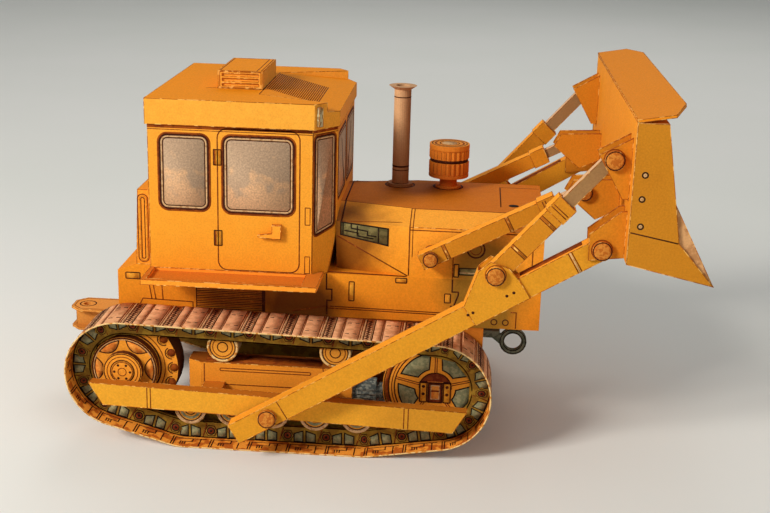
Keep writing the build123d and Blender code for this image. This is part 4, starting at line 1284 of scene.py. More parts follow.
@dataclass
class Hull(Assembly):
    """Hull, chassis, hood, tank, drawbar and tow eye with their printed panels."""

    waist: float = 35.6
    shoulder: float = 64.5
    fold: float = 60.6
    rear: float = 14.2
    rear_half: float = 24.7
    deck: float = 49.5
    hood_top: float = 67.4
    top_half: float = 17.5
    rear_top_half: float = 12.0
    louvre: tuple[Spot, Spot] = ((-26.4, 36.4), (-6.2, 44.4))
    slats: int = 16
    slot: tuple[Spot, ...] = ((15.6, 60.7), (29.4, 58.4), (29.4, 63.4), (15.6, 64.4))
    pipes: tuple[Flat, ...] = (
        ((26.6, 59.0), (26.6, 63.6)), ((16.6, 62.0), (20.6, 61.5), (20.6, 60.6), (25.2, 60.1)),
        ((18.6, 64.0), (18.6, 62.8), (23.4, 62.2), (23.4, 61.0), (26.0, 60.8)), ((20.4, 63.7), (20.4, 61.0)),
        ((16.2, 60.9), (16.2, 64.2)),
    )
    plates: tuple[tuple[Spot, Spot], ...] = (
        ((32.0, 47.6), (35.2, 49.0)), ((-47.3, 44.9), (-43.1, 46.8)), ((46.3, 42.2), (48.0, 44.9)),
        ((18.5, 41.4), (20.0, 47.2)),
    )
    skirt: tuple[Spot, Spot] = ((-49.4, 35.3), (48.0, 36.2))
    ports: tuple[Spot, ...] = ((60.9, 37.0), (64.2, 37.0))
    line_thin: tuple[Flat, ...] = (
        ((12.4, 50.0), (35.0, 49.6)),
        ((-40.5, 43.8), (-39.7, 38.8)), ((-39.3, 43.8), (-38.5, 38.8)), ((-36.7, 43.9), (-36.4, 39.0)),
        ((-43.7, 36.4), (-42.4, 39.0), (-27.5, 38.6), (-27.5, 36.4)),
        ((2.0, 37.3), (11.6, 39.4)), ((11.8, 39.4), (48.1, 39.0)), ((11.8, 38.8), (48.1, 38.4)),
        ((67.2, 35.3), (67.2, 40.2), (65.6, 40.2)), ((53.0, 40.3), (61.0, 40.3), (61.0, 47.0)),
    )
    line_dark: tuple[Flat, ...] = (
        ((11.9, 49.4), (11.9, 44.6), (13.5, 44.6), (13.5, 41.2), (12.1, 41.2), (12.1, 36.9)),
        ((48.4, 49.4), (48.4, 45.6), (50.2, 45.6), (50.2, 44.6), (49.0, 41.2), (48.0, 41.2)),
    )
    hood_lines: tuple[Flat, ...] = (
        ((48.3, 49.6), (48.3, 56.0)), ((70.9, 50.0), (70.9, 63.6)), ((35.6, 63.6), (73.6, 63.6)),
    )
    bar: tuple[Spot, Spot] = ((50.2, 50.9), (58.6, 52.9))
    ring_at: Spot = (54.7, 58.7)
    clip: tuple[Spot, Spot] = ((48.7, 50.2), (50.0, 54.0))
    filler_at: Spot = (65.3, -9.6)
    stacks_at: tuple[Spot, ...] = ((30.3, 11.0), (45.3, 11.0))
    hatch: float = 61.5
    grille: tuple[Spot, Spot] = ((-20.0, 40.0), (20.0, 62.0))
    grille_slats: int = 18
    eye_plate: float = 3.2
    handrail: tuple[Spot, Spot] = ((-43.2, 50.3), (-40.2, 70.6))
    eye_at: Spot = (67.8, 21.3)
    drawbar_pin: Spot = (-67.4, 0.0)
    drawbar_edge: tuple[Spot, ...] = (
        (-50.4, -4.8), (-68.6, -4.8), (-71.2, -2.2), (-71.2, 2.2), (-68.6, 4.8), (-50.4, 4.8),
    )
    # Painted shadows on the hull's sides: two pairs cast by the step trays and the cab, one pair cast by the
    # cylinders at the front.
    hull_shades: tuple[Shade, ...] = (
        *both((4.0, 27.2, 38.0), (15.0, 9.0, 15.0), 0.85, (64, 28, 8)),
        *both((-14.0, 27.2, 42.0), (17.0, 9.0, 8.0), 0.6, (84, 40, 10)),
        *both((57.0, 27.2, 44.0), (15.0, 9.0, 22.0), 0.9, (128, 92, 26)),
    )
    # Painted shadows on the hood: the cab's on the rear of its sides, the cylinders' on the front of its
    # sides, and one on its top near the exhaust.
    hood_shades: tuple[Shade, ...] = (
        *both((12.0, 24.0, 60.0), (21.0, 16.0, 22.0), 0.8, (96, 46, 10)),
        *both((57.0, 27.2, 53.0), (12.0, 5.0, 13.0), 0.9, (132, 96, 30)),
        Shade((36.0, 8.0, 67.4), (15.0, 11.0, 4.0), 0.6, (120, 56, 8)),
    )

    def flank(self, side: Side) -> None:
        """Printed panels on one side of the hull, and the handrail on the tank above it.

        Args:
            side: Side of the machine.
        """
        face = self.frame.flank(side, self.frame.high("hull", 1))
        (rear, low), (front, high) = self.louvre
        for step, height in enumerate(np.linspace(low, high, self.slats)):
            self.ink.line(face, [(rear, height), (front, height)], Ink.DARK if step % 3 else Ink.LINE, 0.28)
        self.ink.line(face, round_box(*self.louvre, 0.1), Ink.DARK, closed=True)
        self.ink.line(face, [(front - 0.4, low), (front - 0.4, high)], Ink.DARK, 0.8, layer=2)
        self.ink.lines(face, self.line_thin)
        self.ink.lines(face, self.line_dark, Ink.DARK, 0.42)
        for plate in self.plates:
            self.ink.framed(face, round_box(*plate, 0.2), Ink.GOLD)
        self.ink.tile(face, *self.skirt, Ink.BROWN)
        for port in self.ports:
            self.ink.rings(face, port, ((0.85, Ink.DARK, 0.32),))
        for inset, colour, width in ((0.0, Ink.LINE, 0.3), (0.5, Ink.GOLD, 0.5), (1.0, Ink.DARK, 0.26)):
            rail = borders(round_box(*self.handrail, 1.4), 2 * inset, True)[0]
            self.ink.line(face, rail, colour, width, closed=True)

    def hood_side(self, side: Side) -> None:
        """Folds and panels on one side of the hood.

        Args:
            side: Side of the machine.
        """
        s, half = side.value, self.frame.high("hood", 1)
        front, top = self.frame.high("hood", 0), self.shoulder
        face, seam = self.frame.flank(side, half), self.waist + 0.9
        (bar_rear, bar_low), (bar_front, _) = self.bar
        self.ink.lines(face, self.hood_lines)
        self.ink.bars(face, self.deck + 0.4, top, ((self.waist, Ink.LINE, 0.34),))
        self.ink.bars(face, top - 9.0, top, ((seam, Ink.LINE, 0.22),))
        self.ink.line(face, [(self.waist, top - 0.1), (front, top - 0.1)], Ink.FOLD, 0.26)
        self.ink.rings(face, self.ring_at, ((2.5, Ink.DARK, 0.45), (1.6, Ink.LINE, 0.24)))
        self.ink.framed(face, round_box(*self.bar, 0.1), Ink.MOSS, Ink.BLACK)
        self.ink.line(face, [(bar_rear, bar_low + 0.6), (bar_front, bar_low + 0.6)], Ink.PALE, 0.24, layer=2)
        self.ink.framed(face, round_box(*self.clip, 0.1), Ink.GOLD, Ink.BLACK)
        self.shoulder_print(s, half, front)

    def shoulder_print(self, s: int, half: float, front: float) -> None:
        """Folds of the shoulder, which slopes at the front and is a leaning cheek behind.

        Args:
            s: Sign of the side.
            half: Half width of the hood.
            front: Front of the hood.
        """
        bend = (self.waist, s * half, self.shoulder)
        nape = (self.rear, s * self.rear_half, self.shoulder)
        crest = (self.waist, s * self.top_half, self.hood_top)
        slope = self.frame.leaning(bend, (front, s * half, self.shoulder), crest, (0, s, 1))
        rise = math.hypot(half - self.top_half, self.hood_top - self.shoulder)
        self.ink.bars(slope, 0.0, rise, ((0.0, Ink.LINE, 0.26), (0.9, Ink.LINE, 0.26)))
        self.ink.line(slope, [(0.0, rise - 0.12), (front - self.waist, rise - 0.12)], Ink.LINE, 0.26)
        brow = (self.rear, s * self.rear_top_half, self.hood_top)
        cheek = self.frame.leaning(nape, brow, bend, (0, s, 1))
        self.ink.line(cheek, [(0.3, 1.5), (math.dist(nape, brow) - 0.2, 1.5)], Ink.DARK, 0.44, layer=3)
        self.ink.line(cheek, [(0.15, 0.2), (0.15, math.dist(bend, nape) - 0.2)], Ink.LINE, 0.26, layer=2)
        inner = s * 0.2
        ridge = [(self.rear + 0.2, brow[1] - inner), (self.waist, crest[1] - inner)]
        self.ink.line(self.frame.level(self.hood_top), ridge, Ink.LINE, 0.26)
        self.engine_bay(bend, nape, (self.waist, s * half, self.deck), s)

    def engine_bay(self, bend: Triple, nape: Triple, knee: Triple, s: int) -> None:
        """The printed opening under the shoulder with its pipes, on the leaning rear side.

        Args:
            bend: Upper front corner of the leaning side.
            nape: Upper rear corner.
            knee: Lower front corner.
            s: Sign of the side.
        """
        face = self.frame.leaning(bend, nape, knee, (0, s, 0))
        plane = np.array([face.across, face.up])[:, [0, 2]].T
        start = np.array(bend)[[0, 2]]

        def drawn(spots: Flat) -> np.ndarray:
            """Drawing places of the face's points at given x and z, from the two directions' parts."""
            return np.linalg.solve(plane, (np.array(spots) - start).T).T

        self.ink.framed(face, drawn(self.slot), Ink.MOSS, Ink.BLACK, 0.42)
        for pipe in self.pipes:
            self.ink.line(face, drawn(pipe), Ink.BLACK, 0.38, layer=3)
        diagonal = drawn(((self.rear + 0.4, self.fold - 0.4), (self.waist - 0.3, self.deck + 0.3)))
        self.ink.line(face, diagonal, Ink.LINE, 0.34)

    def top(self) -> None:
        """Lines across the top of the hood, the filler, the seats of the stacks and the nose grille."""
        deck = self.frame.level(self.hood_top)
        front = self.frame.high("hood", 0)
        lid = self.top_half - 5.0
        self.ink.bars(deck, -self.rear_top_half, self.rear_top_half, ((self.rear + 1.4, Ink.DARK, 0.44),))
        self.ink.bars(deck, 1.0 - lid, lid, ((self.hatch, Ink.DARK, 0.34),))
        self.ink.line(deck, [(self.hatch, lid), (front - 0.4, lid)])
        self.ink.patch(deck, circle(self.filler_at, 1.5, 20), Ink.BLACK)
        for centre in self.stacks_at:
            self.ink.rings(deck, centre, ((4.5, Ink.DARK, 0.5), (3.8, Ink.BROWN, 0.7)))
        nose = self.frame.across(front, 1)
        (left, low), (right, high) = self.grille
        self.ink.line(nose, round_box(*self.grille, 1.5), Ink.LINE, 0.34, closed=True)
        for height in np.linspace(low + 2.0, high - 2.0, self.grille_slats):
            self.ink.line(nose, [(left + 1.4, height), (right - 1.4, height)], Ink.DARK, 0.42)

    def build(self) -> None:
        """Dress the hull's nodes and print their panels."""
        frame = self.frame
        hull_card = CardFinish(
            "hull_card", (230, 142, 30), (216, 126, 24), 36.0, 50.0, shades=self.hull_shades
        )
        frame.dress(hull_card.build(frame.shift), "hull")
        hood_card = CardFinish(
            "hood_card", (250, 168, 54), (236, 146, 32), 50.0, 66.0, (202, 112, 16), (0.975, 0.99),
            shades=self.hood_shades,
        )
        frame.dress(hood_card.build(frame.shift), "hood")
        # The chassis card is dark brown and darker still towards the bottom: painted shade under the hull.
        frame.dress(CardFinish("chassis_card", (186, 102, 26), (120, 62, 18), 12.0, 36.0).build(), "chassis")
        frame.dress(CardFinish("tank_card", (244, 156, 44), (240, 146, 36), 50.0, 74.0).build(), "rear_tank")
        frame.dress(CardFinish("drawbar_card", (222, 150, 70), (186, 118, 50), 18.0, 27.0).build(), "drawbar")
        frame.dress(InkFinish("eye_card", (92, 96, 80), (122, 122, 102), 0.5, 1.6).build(), "tow_hook")
        for side in Side:
            self.flank(side)
            self.hood_side(side)
            hook = frame.flank(side, frame.high("tow_hook", 1) - self.eye_plate)
            self.ink.rings(hook, self.eye_at, ((4.0, Ink.BLACK, 0.3), (3.0, Ink.BLACK, 0.3)))
        self.top()
        bar = frame.level(frame.high("drawbar", 2))
        self.ink.rings(bar, self.drawbar_pin, ((2.5, Ink.DARK, 0.4),))
        self.ink.line(bar, self.drawbar_edge, Ink.LINE, 0.24)
        self.ink.finish("hull", "root", "yellow_card")


@dataclass
class Stacks(Assembly):
    """Exhaust pipe and precleaner on the hood."""

    exhaust_at: Spot = (30.3, 11.0)
    exhaust_radius: float = 2.6
    cleaner_at: Spot = (45.3, 11.0)
    cleaner_core: float = 5.8
    pleats: int = 24
    pleat_rows: tuple[Spot, ...] = ((72.2, 75.8), (76.8, 79.4))
    pleat_gap: float = 6.0
    pipe_bands: tuple[Spot, ...] = ((73.6, 0.5), (72.4, 0.24), (95.2, 0.3), (68.0, 0.6))
    waist: float = 76.3
    lid_rings: Bars = ((5.4, Ink.DARK, 0.3), (4.4, Ink.LINE, 0.5), (3.0, Ink.DARK, 0.3))

    def post(self, centre: Spot, radius: float) -> PostSheet:
        """Wall of an upright roll at a place on the machine."""
        return PostSheet((centre[0] + self.frame.shift, centre[1]), radius)

    def band(self, post: PostSheet, height: float, width: float, layer: int = 1) -> None:
        """A dark line round a roll."""
        self.ink.line(post, [(-180.0, height), (180.0, height)], Ink.DARK, width, layer=layer)

    def build(self) -> None:
        """Dress the two stacks, with dark pleats, rings and rims."""
        frame = self.frame
        frame.dress(PipeFinish("pipe_card", 67.0, 84.0).build(), "exhaust")
        drum_card = CardFinish("drum_card", (220, 128, 40), (196, 96, 28), 70.0, 82.0, (226, 142, 52))
        frame.dress(drum_card.build(), "precleaner")
        pipe = self.post(self.exhaust_at, self.exhaust_radius)
        for height, width in self.pipe_bands:
            self.band(pipe, height, width)
        drum = self.post(self.cleaner_at, self.cleaner_core)
        pitch = 360 / self.pleats
        for low, high in self.pleat_rows:
            for step in range(self.pleats):
                gap = ((step + 0.5) * pitch, Ink.DARK, self.pleat_gap)
                self.ink.bars(drum, low + 0.1, high - 0.1, (gap,))
        self.band(drum, self.waist, 0.9, 2)
        lid = frame.level(frame.high("precleaner", 2))
        self.ink.rings(lid, self.cleaner_at, self.lid_rings)
        self.ink.patch(lid, circle(self.cleaner_at, 2.4, 24), Ink.PALE)
        self.ink.finish("stacks", "root", "drum_card")


@dataclass
class Track(Assembly):
    """One side's track: belt, link plates, wheels, rollers, frame and outer beam."""

    side: Side
    rolls: tuple[Triple, ...] = (
        (-45.2, 21.4, 16.2), (44.9, 19.5, 16.2), (-27.5, 12.0, 12.0), (24.5, 12.0, 12.0),
    )
    inner: float = 27.6
    outer: float = 45.0
    shoes: int = 25
    first_joint: float = 11.069
    belt_steps: int = 260
    shoe_bars: Bars = (
        (-1.0, Ink.LINE, 0.24), (1.0, Ink.DARK, 0.26), (1.4, Ink.PALE, 0.3), (1.9, Ink.LINE, 0.22),
        (4.75, Ink.PANEL, 4.4), (2.45, Ink.LINE, 0.26), (7.1, Ink.LINE, 0.26), (8.6, Ink.PANEL, 2.2),
        (7.5, Ink.LINE, 0.2), (9.9, Ink.DARK, 0.26), (10.2, Ink.PALE, 0.3),
    )
    dashes: tuple[Spot, ...] = ((3.6, -4.3), (3.6, 4.3), (5.9, -4.3), (5.9, 4.3))
    bracket_marks: tuple[Flat, ...] = (
        ((0.3, 0.3), (0.3, 5.5)), ((1.0, 0.3), (1.0, 5.5)),
        ((1.2, 5.2), (6.3, 5.2), (6.3, 3.2), (2.6, 3.2)), ((6.3, 5.2), (10.2, 5.2)),
        ((2.9, 3.2), (2.9, 1.4)), ((3.6, 3.2), (3.6, 1.4)), ((4.3, 3.2), (4.3, 1.4)),
        ((8.6, 0.3), (8.6, 5.2)),
    )
    windows: tuple[Flat, ...] = (
        ((1.9, 1.0), (4.5, 1.0), (4.5, 4.4), (1.9, 3.5)), ((5.4, 1.0), (8.1, 1.0), (8.1, 3.5), (5.4, 4.4)),
    )
    card: float = 0.5
    skin: float = 0.08
    ring_face: float = 38.6
    head_proud: float = 0.2
    pin_depth: float = 2.9
    ring_depth: float = 5.8
    drum_face: float = 37.0
    drum_radius: float = 15.2
    disc_radius: float = 9.7
    disc_proud: float = 2.6
    hub_proud: float = 2.2
    cap_proud: float = 0.3
    teeth: int = 19
    tooth_inset: float = 1.2
    tooth_depth: float = 0.3
    lenses: int = 6
    lens_radius: float = 8.7
    spokes: tuple[float, ...] = (15.0, 90.0, 167.0, 234.0, 306.0)
    idler_rings: Bars = (
        (14.8, Ink.DARK, 0.34), (14.1, Ink.BROWN, 0.9), (13.5, Ink.DARK, 0.4),
        (12.6, Ink.LINE, 0.26), (11.8, Ink.DARK, 0.34),
    )
    hub_block: tuple[Spot, Spot] = ((-4.4, -4.4), (4.4, 2.0))
    ear: float = 3.4
    carriers: tuple[Spot, ...] = ((-16.8, 28.85), (15.9, 28.85))
    carrier_face: float = 37.5
    carrier_rings: Bars = (
        (4.2, Ink.EDGE, 0.7), (3.7, Ink.DARK, 0.34), (2.9, Ink.LINE, 0.26), (1.5, Ink.DARK, 0.32),
    )
    roller_row: Triple = (-25.6, 12.1, 10.7)
    roller_face: float = 41.6
    roller_rings: Bars = (
        (4.1, Ink.PALE, 0.9), (3.5, Ink.DARK, 0.32), (2.6, Ink.TEAL, 0.8), (1.6, Ink.DARK, 0.3),
        (0.8, Ink.GOLD, 0.6),
    )
    frame_face: float = 38.0
    beam_face: float = 46.8
    beam_rear: Spot = (-53.8, 19.6)
    beam_front: Spot = (54.3, 16.6)
    beam_height: float = 6.6
    beam_lines: tuple[float, ...] = (-36.9, -35.9, 36.6, 37.8)

    def __post_init__(self) -> None:
        """Work out the loop, the joints between its shoes and the places of its wheels."""
        super().__post_init__()
        self.loop = Loop(self.rolls)
        pitch = self.loop.length / self.shoes
        self.joints = self.first_joint + np.arange(self.shoes) * pitch
        self.rear_wheel, self.front_wheel = self.rolls[0][:2], self.rolls[1][:2]

    def belt(self) -> None:
        """The belt itself: a flat rectangle of card carried round the loop, in three finishes.

        Its outside lies a hair inside the CAD band, so that what is printed on it stays in the band.
        """
        s, count = self.side.value, self.belt_steps
        length = np.arange(count) * (self.loop.length / count)
        skin, card, inner, outer = self.skin, self.card, self.inner, self.outer
        rows = []
        for depth, y in ((skin, inner), (skin, outer), (card, outer), (card, inner)):
            spot, _ = self.loop.at(length, np.full(count, depth))
            rows.append(np.stack([spot[:, 0] + self.frame.shift, np.full(count, s * y), spot[:, 1]], 1) * MM)
        mesh = Mesh()
        mesh.add(np.stack(rows, 1), tube_faces(count, 4, True), s < 0)
        piece = mesh.build(f"belt_{self.side.word}")
        outside = InkFinish("shoe_print", (216, 156, 112), (190, 132, 90), 0.45, 3.0).build()
        inside = InkFinish("belt_inside", (222, 138, 46), (170, 84, 20), 0.4, 3.4).build()
        edge = self.palette.of(Ink.EDGE)
        for finish in (outside, edge, inside, edge):
            piece.data.materials.append(finish)
        piece.data.polygons.foreach_set("material_index", np.tile(np.arange(4), count).astype(np.int32))
        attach(piece, "root")
        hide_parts(f"track_band_{self.side.word}")

    def shoe_print(self) -> None:
        """Outside of the belt: worn zigzag over each joint, a broad panel with dashes and a slim one."""
        s = self.side.value
        sheet = BeltSheet(self.loop, self.frame.shift, self.skin)
        near, far = sorted((s * (self.inner + 0.2), s * (self.outer - 0.2)))
        middle, zig = (near + far) / 2, np.arange(near + 0.6, far - 0.4, 0.7)
        sway = np.where(np.arange(len(zig)) % 2, 0.45, -0.45)
        for joint in self.joints:
            self.ink.line(sheet, np.stack([joint + sway, zig], 1), Ink.DARK, 0.42, layer=2)
            bars = [(joint + at, colour, width) for at, colour, width in self.shoe_bars]
            self.ink.bars(sheet, near, far, bars)
            for at, y in self.dashes:
                dash = [(joint + at - 0.55, middle + y), (joint + at + 0.55, middle + y)]
                self.ink.line(sheet, dash, Ink.BLACK, 0.34, layer=2)

    def belt_inside_print(self) -> None:
        """Inside of the belt: stepped brackets with ticks beside the link plates."""
        s = self.side.value
        sheet = BeltSheet(self.loop, self.frame.shift, self.card, True)
        for joint in self.joints:
            for mark in self.bracket_marks:
                path = [(joint + at, s * (self.outer - inset)) for at, inset in mark]
                self.ink.line(sheet, path, Ink.DARK, 0.34)

    def link_print(self) -> None:
        """Outer ring: two windows and the slanting joint of each link, its six-sided head and its pin."""
        s = self.side.value
        plate = RingSheet(self.loop, self.frame.shift, s * self.ring_face, s)
        head = RingSheet(self.loop, self.frame.shift, s * (self.ring_face + self.head_proud), s)
        for joint in self.joints:
            pin = (joint, self.pin_depth)
            self.ink.line(head, circle(pin, 1.78, 6), Ink.DARK, 0.22, closed=True)
            self.ink.framed(head, circle(pin, 1.1, 16), Ink.WINE, Ink.BLACK, 0.3)
            self.ink.dots(head, (pin,), 0.4, Ink.BLACK, 3)
            for window in self.windows:
                outline = [(joint + at, depth) for at, depth in window]
                self.ink.framed(plate, outline, Ink.TEAL, Ink.BLACK, 0.34)
            self.ink.line(plate, [(joint + 8.9, 0.9), (joint + 10.1, 5.2)], Ink.LINE, 0.34)
        around = np.linspace(0, self.loop.length, 320)[:-1]
        for depth, colour in ((0.72, Ink.DARK), (self.ring_depth - 0.15, Ink.LINE)):
            self.ink.line(plate, np.stack([around, np.full(len(around), depth)], 1), colour, 0.3, closed=True)

    def disc(self, y: float, centre: Spot) -> Sheet:
        """Face of a wheel or roller, drawn from its own centre."""
        return self.frame.flank(self.side, y, centre)

    def sprocket_print(self) -> None:
        """Rear wheel: tooth gaps, disc with lens-shaped openings, hub with bolts."""
        rim = self.disc(self.drum_face, self.rear_wheel)
        floor = self.disc(self.drum_face - self.tooth_depth, self.rear_wheel)
        for turn in 2 * math.pi * np.arange(self.teeth) / self.teeth:
            centre = (self.drum_radius - self.tooth_inset) * rays(turn)
            arc = rays(turn + math.pi + np.linspace(-1.35, 1.35, 11))
            self.ink.line(rim, centre + 1.78 * arc, Ink.DARK, 0.32)
            self.ink.patch(floor, circle(centre, 1.25, 12), Ink.BROWN)
        self.ink.rings(rim, HUB, ((self.disc_radius + 0.5, Ink.DARK, 0.5), (11.4, Ink.LINE, 0.26)))
        radius, proud = self.disc_radius, self.drum_face + self.disc_proud
        face = self.disc(proud, self.rear_wheel)
        self.ink.rings(face, HUB, ((radius - 0.3, Ink.DARK, 0.5), (radius - 0.75, Ink.PALE, 0.24)))
        share = np.linspace(1, -1, 11)[:, None]
        for step in range(self.lenses):
            turn = math.radians(2 + 360 / self.lenses * step)
            outer = self.lens_radius * rays(turn + np.linspace(-0.4, 0.4, 11))
            middle, half = (outer[-1] + outer[0]) / 2, (outer[-1] - outer[0]) / 2
            inner = middle + half * share - middle / np.hypot(*middle) * (2.0 * (1 - share**2))
            self.ink.framed(face, np.vstack([outer, inner[1:-1]]), Ink.RUST, Ink.DARK, 0.32)
        hub = self.disc(proud + self.hub_proud, self.rear_wheel)
        self.ink.rings(hub, HUB, ((5.4, Ink.DARK, 0.3), (4.5, Ink.LINE, 0.24), (3.5, Ink.DARK, 0.3)))
        cap = self.disc(proud + self.hub_proud + self.cap_proud, self.rear_wheel)
        self.ink.rings(cap, HUB, ((3.0, Ink.LINE, 0.22), (1.2, Ink.LINE, 0.22)))
        self.ink.dots(cap, circle(HUB, 2.3, 6), 0.38, Ink.DARK)

    def idler_print(self) -> None:
        """Front wheel: rim lines, five spokes, windows between them and the hub block."""
        face = self.disc(self.drum_face, self.front_wheel)
        self.ink.rings(face, HUB, self.idler_rings)
        turns = np.radians(np.array(self.spokes))
        for first, second in zip(turns, np.append(turns[1:], turns[0] + 2 * math.pi)):
            outer = np.linspace(first + 0.15, second - 0.15, 12)
            inner = np.linspace(second - 0.33, first + 0.33, 8)
            window = np.vstack([10.7 * rays(outer), 5.9 * rays(inner)])
            self.ink.framed(face, window, Ink.TEAL, Ink.BLACK, 0.38)
        for along in rays(turns):
            square = np.array([-along[1], along[0]])
            for offset in (-0.28, 0.28):
                aside = square * offset
                self.ink.line(face, [along * 4.6 + aside, along * 11.6 + aside], Ink.WINE, 0.28)
        self.hub_block_print(face)

    def hub_block_print(self, face: Sheet) -> None:
        """The idler's hub block: a crown, a plate with an ear on each side, and the slot between them.

        Args:
            face: Face of the idler.
        """
        self.ink.framed(face, 4.6 * rays(np.linspace(0.0, math.pi, 18)), Ink.WINE, Ink.DARK, 0.34, 2)
        (left, low), (right, high) = self.hub_block
        self.ink.patch(face, [(left, low), (right, low), (right, high), (left, high)], Ink.RUST, 3)
        for x in (-self.ear, self.ear):
            self.ink.framed(face, round_box((x - 1.0, low), (x + 1.0, 1.9), 0.2), Ink.GOLD, Ink.DARK, 0.34, 4)
            self.ink.dots(face, ((x, 0.4), (x, -1.9)), 0.48, Ink.DARK, 5)
        self.ink.line(face, [(left, 1.6), (right, 1.6)], Ink.DARK, 0.4, layer=5)
        self.ink.framed(face, round_box((-1.95, low), (1.95, 1.3), 0.1), Ink.WINE, Ink.DARK, 0.4, 4)
        self.ink.framed(face, round_box((-1.2, -3.4), (1.2, 0.8), 0.1), Ink.RUST, Ink.PALE, 0.26, 5)
        self.ink.line(face, [(-1.2, -0.9), (1.2, -0.9)], Ink.WINE, 0.5, layer=6)

    def roller_print(self) -> None:
        """Faces of the carrier and track rollers: concentric rings."""
        for centre in self.carriers:
            self.ink.rings(self.disc(self.carrier_face, centre), HUB, self.carrier_rings)
        start, pitch, height = self.roller_row
        for step in range(5):
            face = self.disc(self.roller_face, (start + pitch * step, height))
            self.ink.rings(face, HUB, self.roller_rings)

    def beam_print(self) -> None:
        """Track frame and outer beam: slot, folds, a painted shadow on the frame's top and the double lines
        near the ends.
        """
        s = self.side.value
        top = self.frame.high(f"track_frame_{self.side.word}", 2)
        face = self.frame.flank(self.side, self.frame_face)
        self.ink.line(face, round_box((-17.5, 21.8), (8.9, 22.6), 0.35), Ink.LINE, 0.28, closed=True)
        self.ink.lines(face, (((-22.1, top - 0.4), (-22.1, 17.6), (18.0, 17.6)), ((12.4, top), (13.6, 17.6))))
        deck = self.frame.level(top)
        self.ink.line(deck, [(-26.5, s * 31.0), (20.5, s * 31.0)], Ink.LINE, 0.26)
        # Painted shadow: a brown band over the top of the track frame.
        low, high = sorted((s * 31.4, s * 37.0))
        self.ink.tile(deck, (-22.0, low), (12.0, high), Ink.BROWN)
        beam = self.frame.flank(self.side, self.beam_face)
        slope = (self.beam_front[1] - self.beam_rear[1]) / (self.beam_front[0] - self.beam_rear[0])
        for x in self.beam_lines:
            edge = self.beam_rear[1] + slope * (x - self.beam_rear[0])
            self.ink.bars(beam, edge - 0.2, edge - self.beam_height + 0.2, ((x, Ink.LINE, 0.28),))

    def build(self) -> None:
        """Make the belt and print everything on this side's running gear."""
        word, frame = self.side.word, self.frame
        self.belt()
        link = InkFinish("link_card", (156, 120, 40), (132, 96, 32), 0.5, 2.6)
        frame.dress(link.build(), f"link_rings_{word}")
        # The wheels' narrow faces, the sides of their drums, are dark brown: painted shade.
        wheel = SideFinish("wheel_card", (232, 148, 44), (96, 48, 20)).build()
        frame.dress(wheel, f"sprocket_{word}", f"idler_{word}")
        frame.dress(SideFinish("roller_card", (226, 150, 50), (170, 146, 104)).build(), f"rollers_{word}")
        # The track frame's narrow faces take a darker brown than its flanks: painted shade on its top.
        frame.dress(SideFinish("frame_card", (222, 138, 38), (160, 84, 22)).build(), f"track_frame_{word}")
        spring = InkFinish("spring_card", (80, 86, 84), (130, 132, 122), 0.45, 1.0)
        frame.dress(spring.build(), f"adjuster_{word}")
        # Painted shade on the front of the outer beam.
        shade = Shade((46.0, self.side.value * self.beam_face, 14.0), (24.0, 12.0, 12.0), 0.5, (170, 110, 26))
        beam = SideFinish("beam_card", (224, 156, 42), (196, 112, 28), shades=(shade,))
        frame.dress(beam.build(frame.shift), f"outer_beam_{word}")
        for name, slot, lift, parts in (
            ("belt", "shoe_card", 0.04, (self.shoe_print, self.belt_inside_print)),
            ("links", "link_card", 0.03, (self.link_print,)),
            ("wheels", "wheel_card", 0.03, (self.sprocket_print, self.idler_print, self.roller_print)),
            ("frame", "yellow_card", 0.03, (self.beam_print,)),
        ):
            self.ink = Print(self.palette, lift)
            for part in parts:
                part()
            self.ink.finish(f"{name}_{word}", "root", slot)


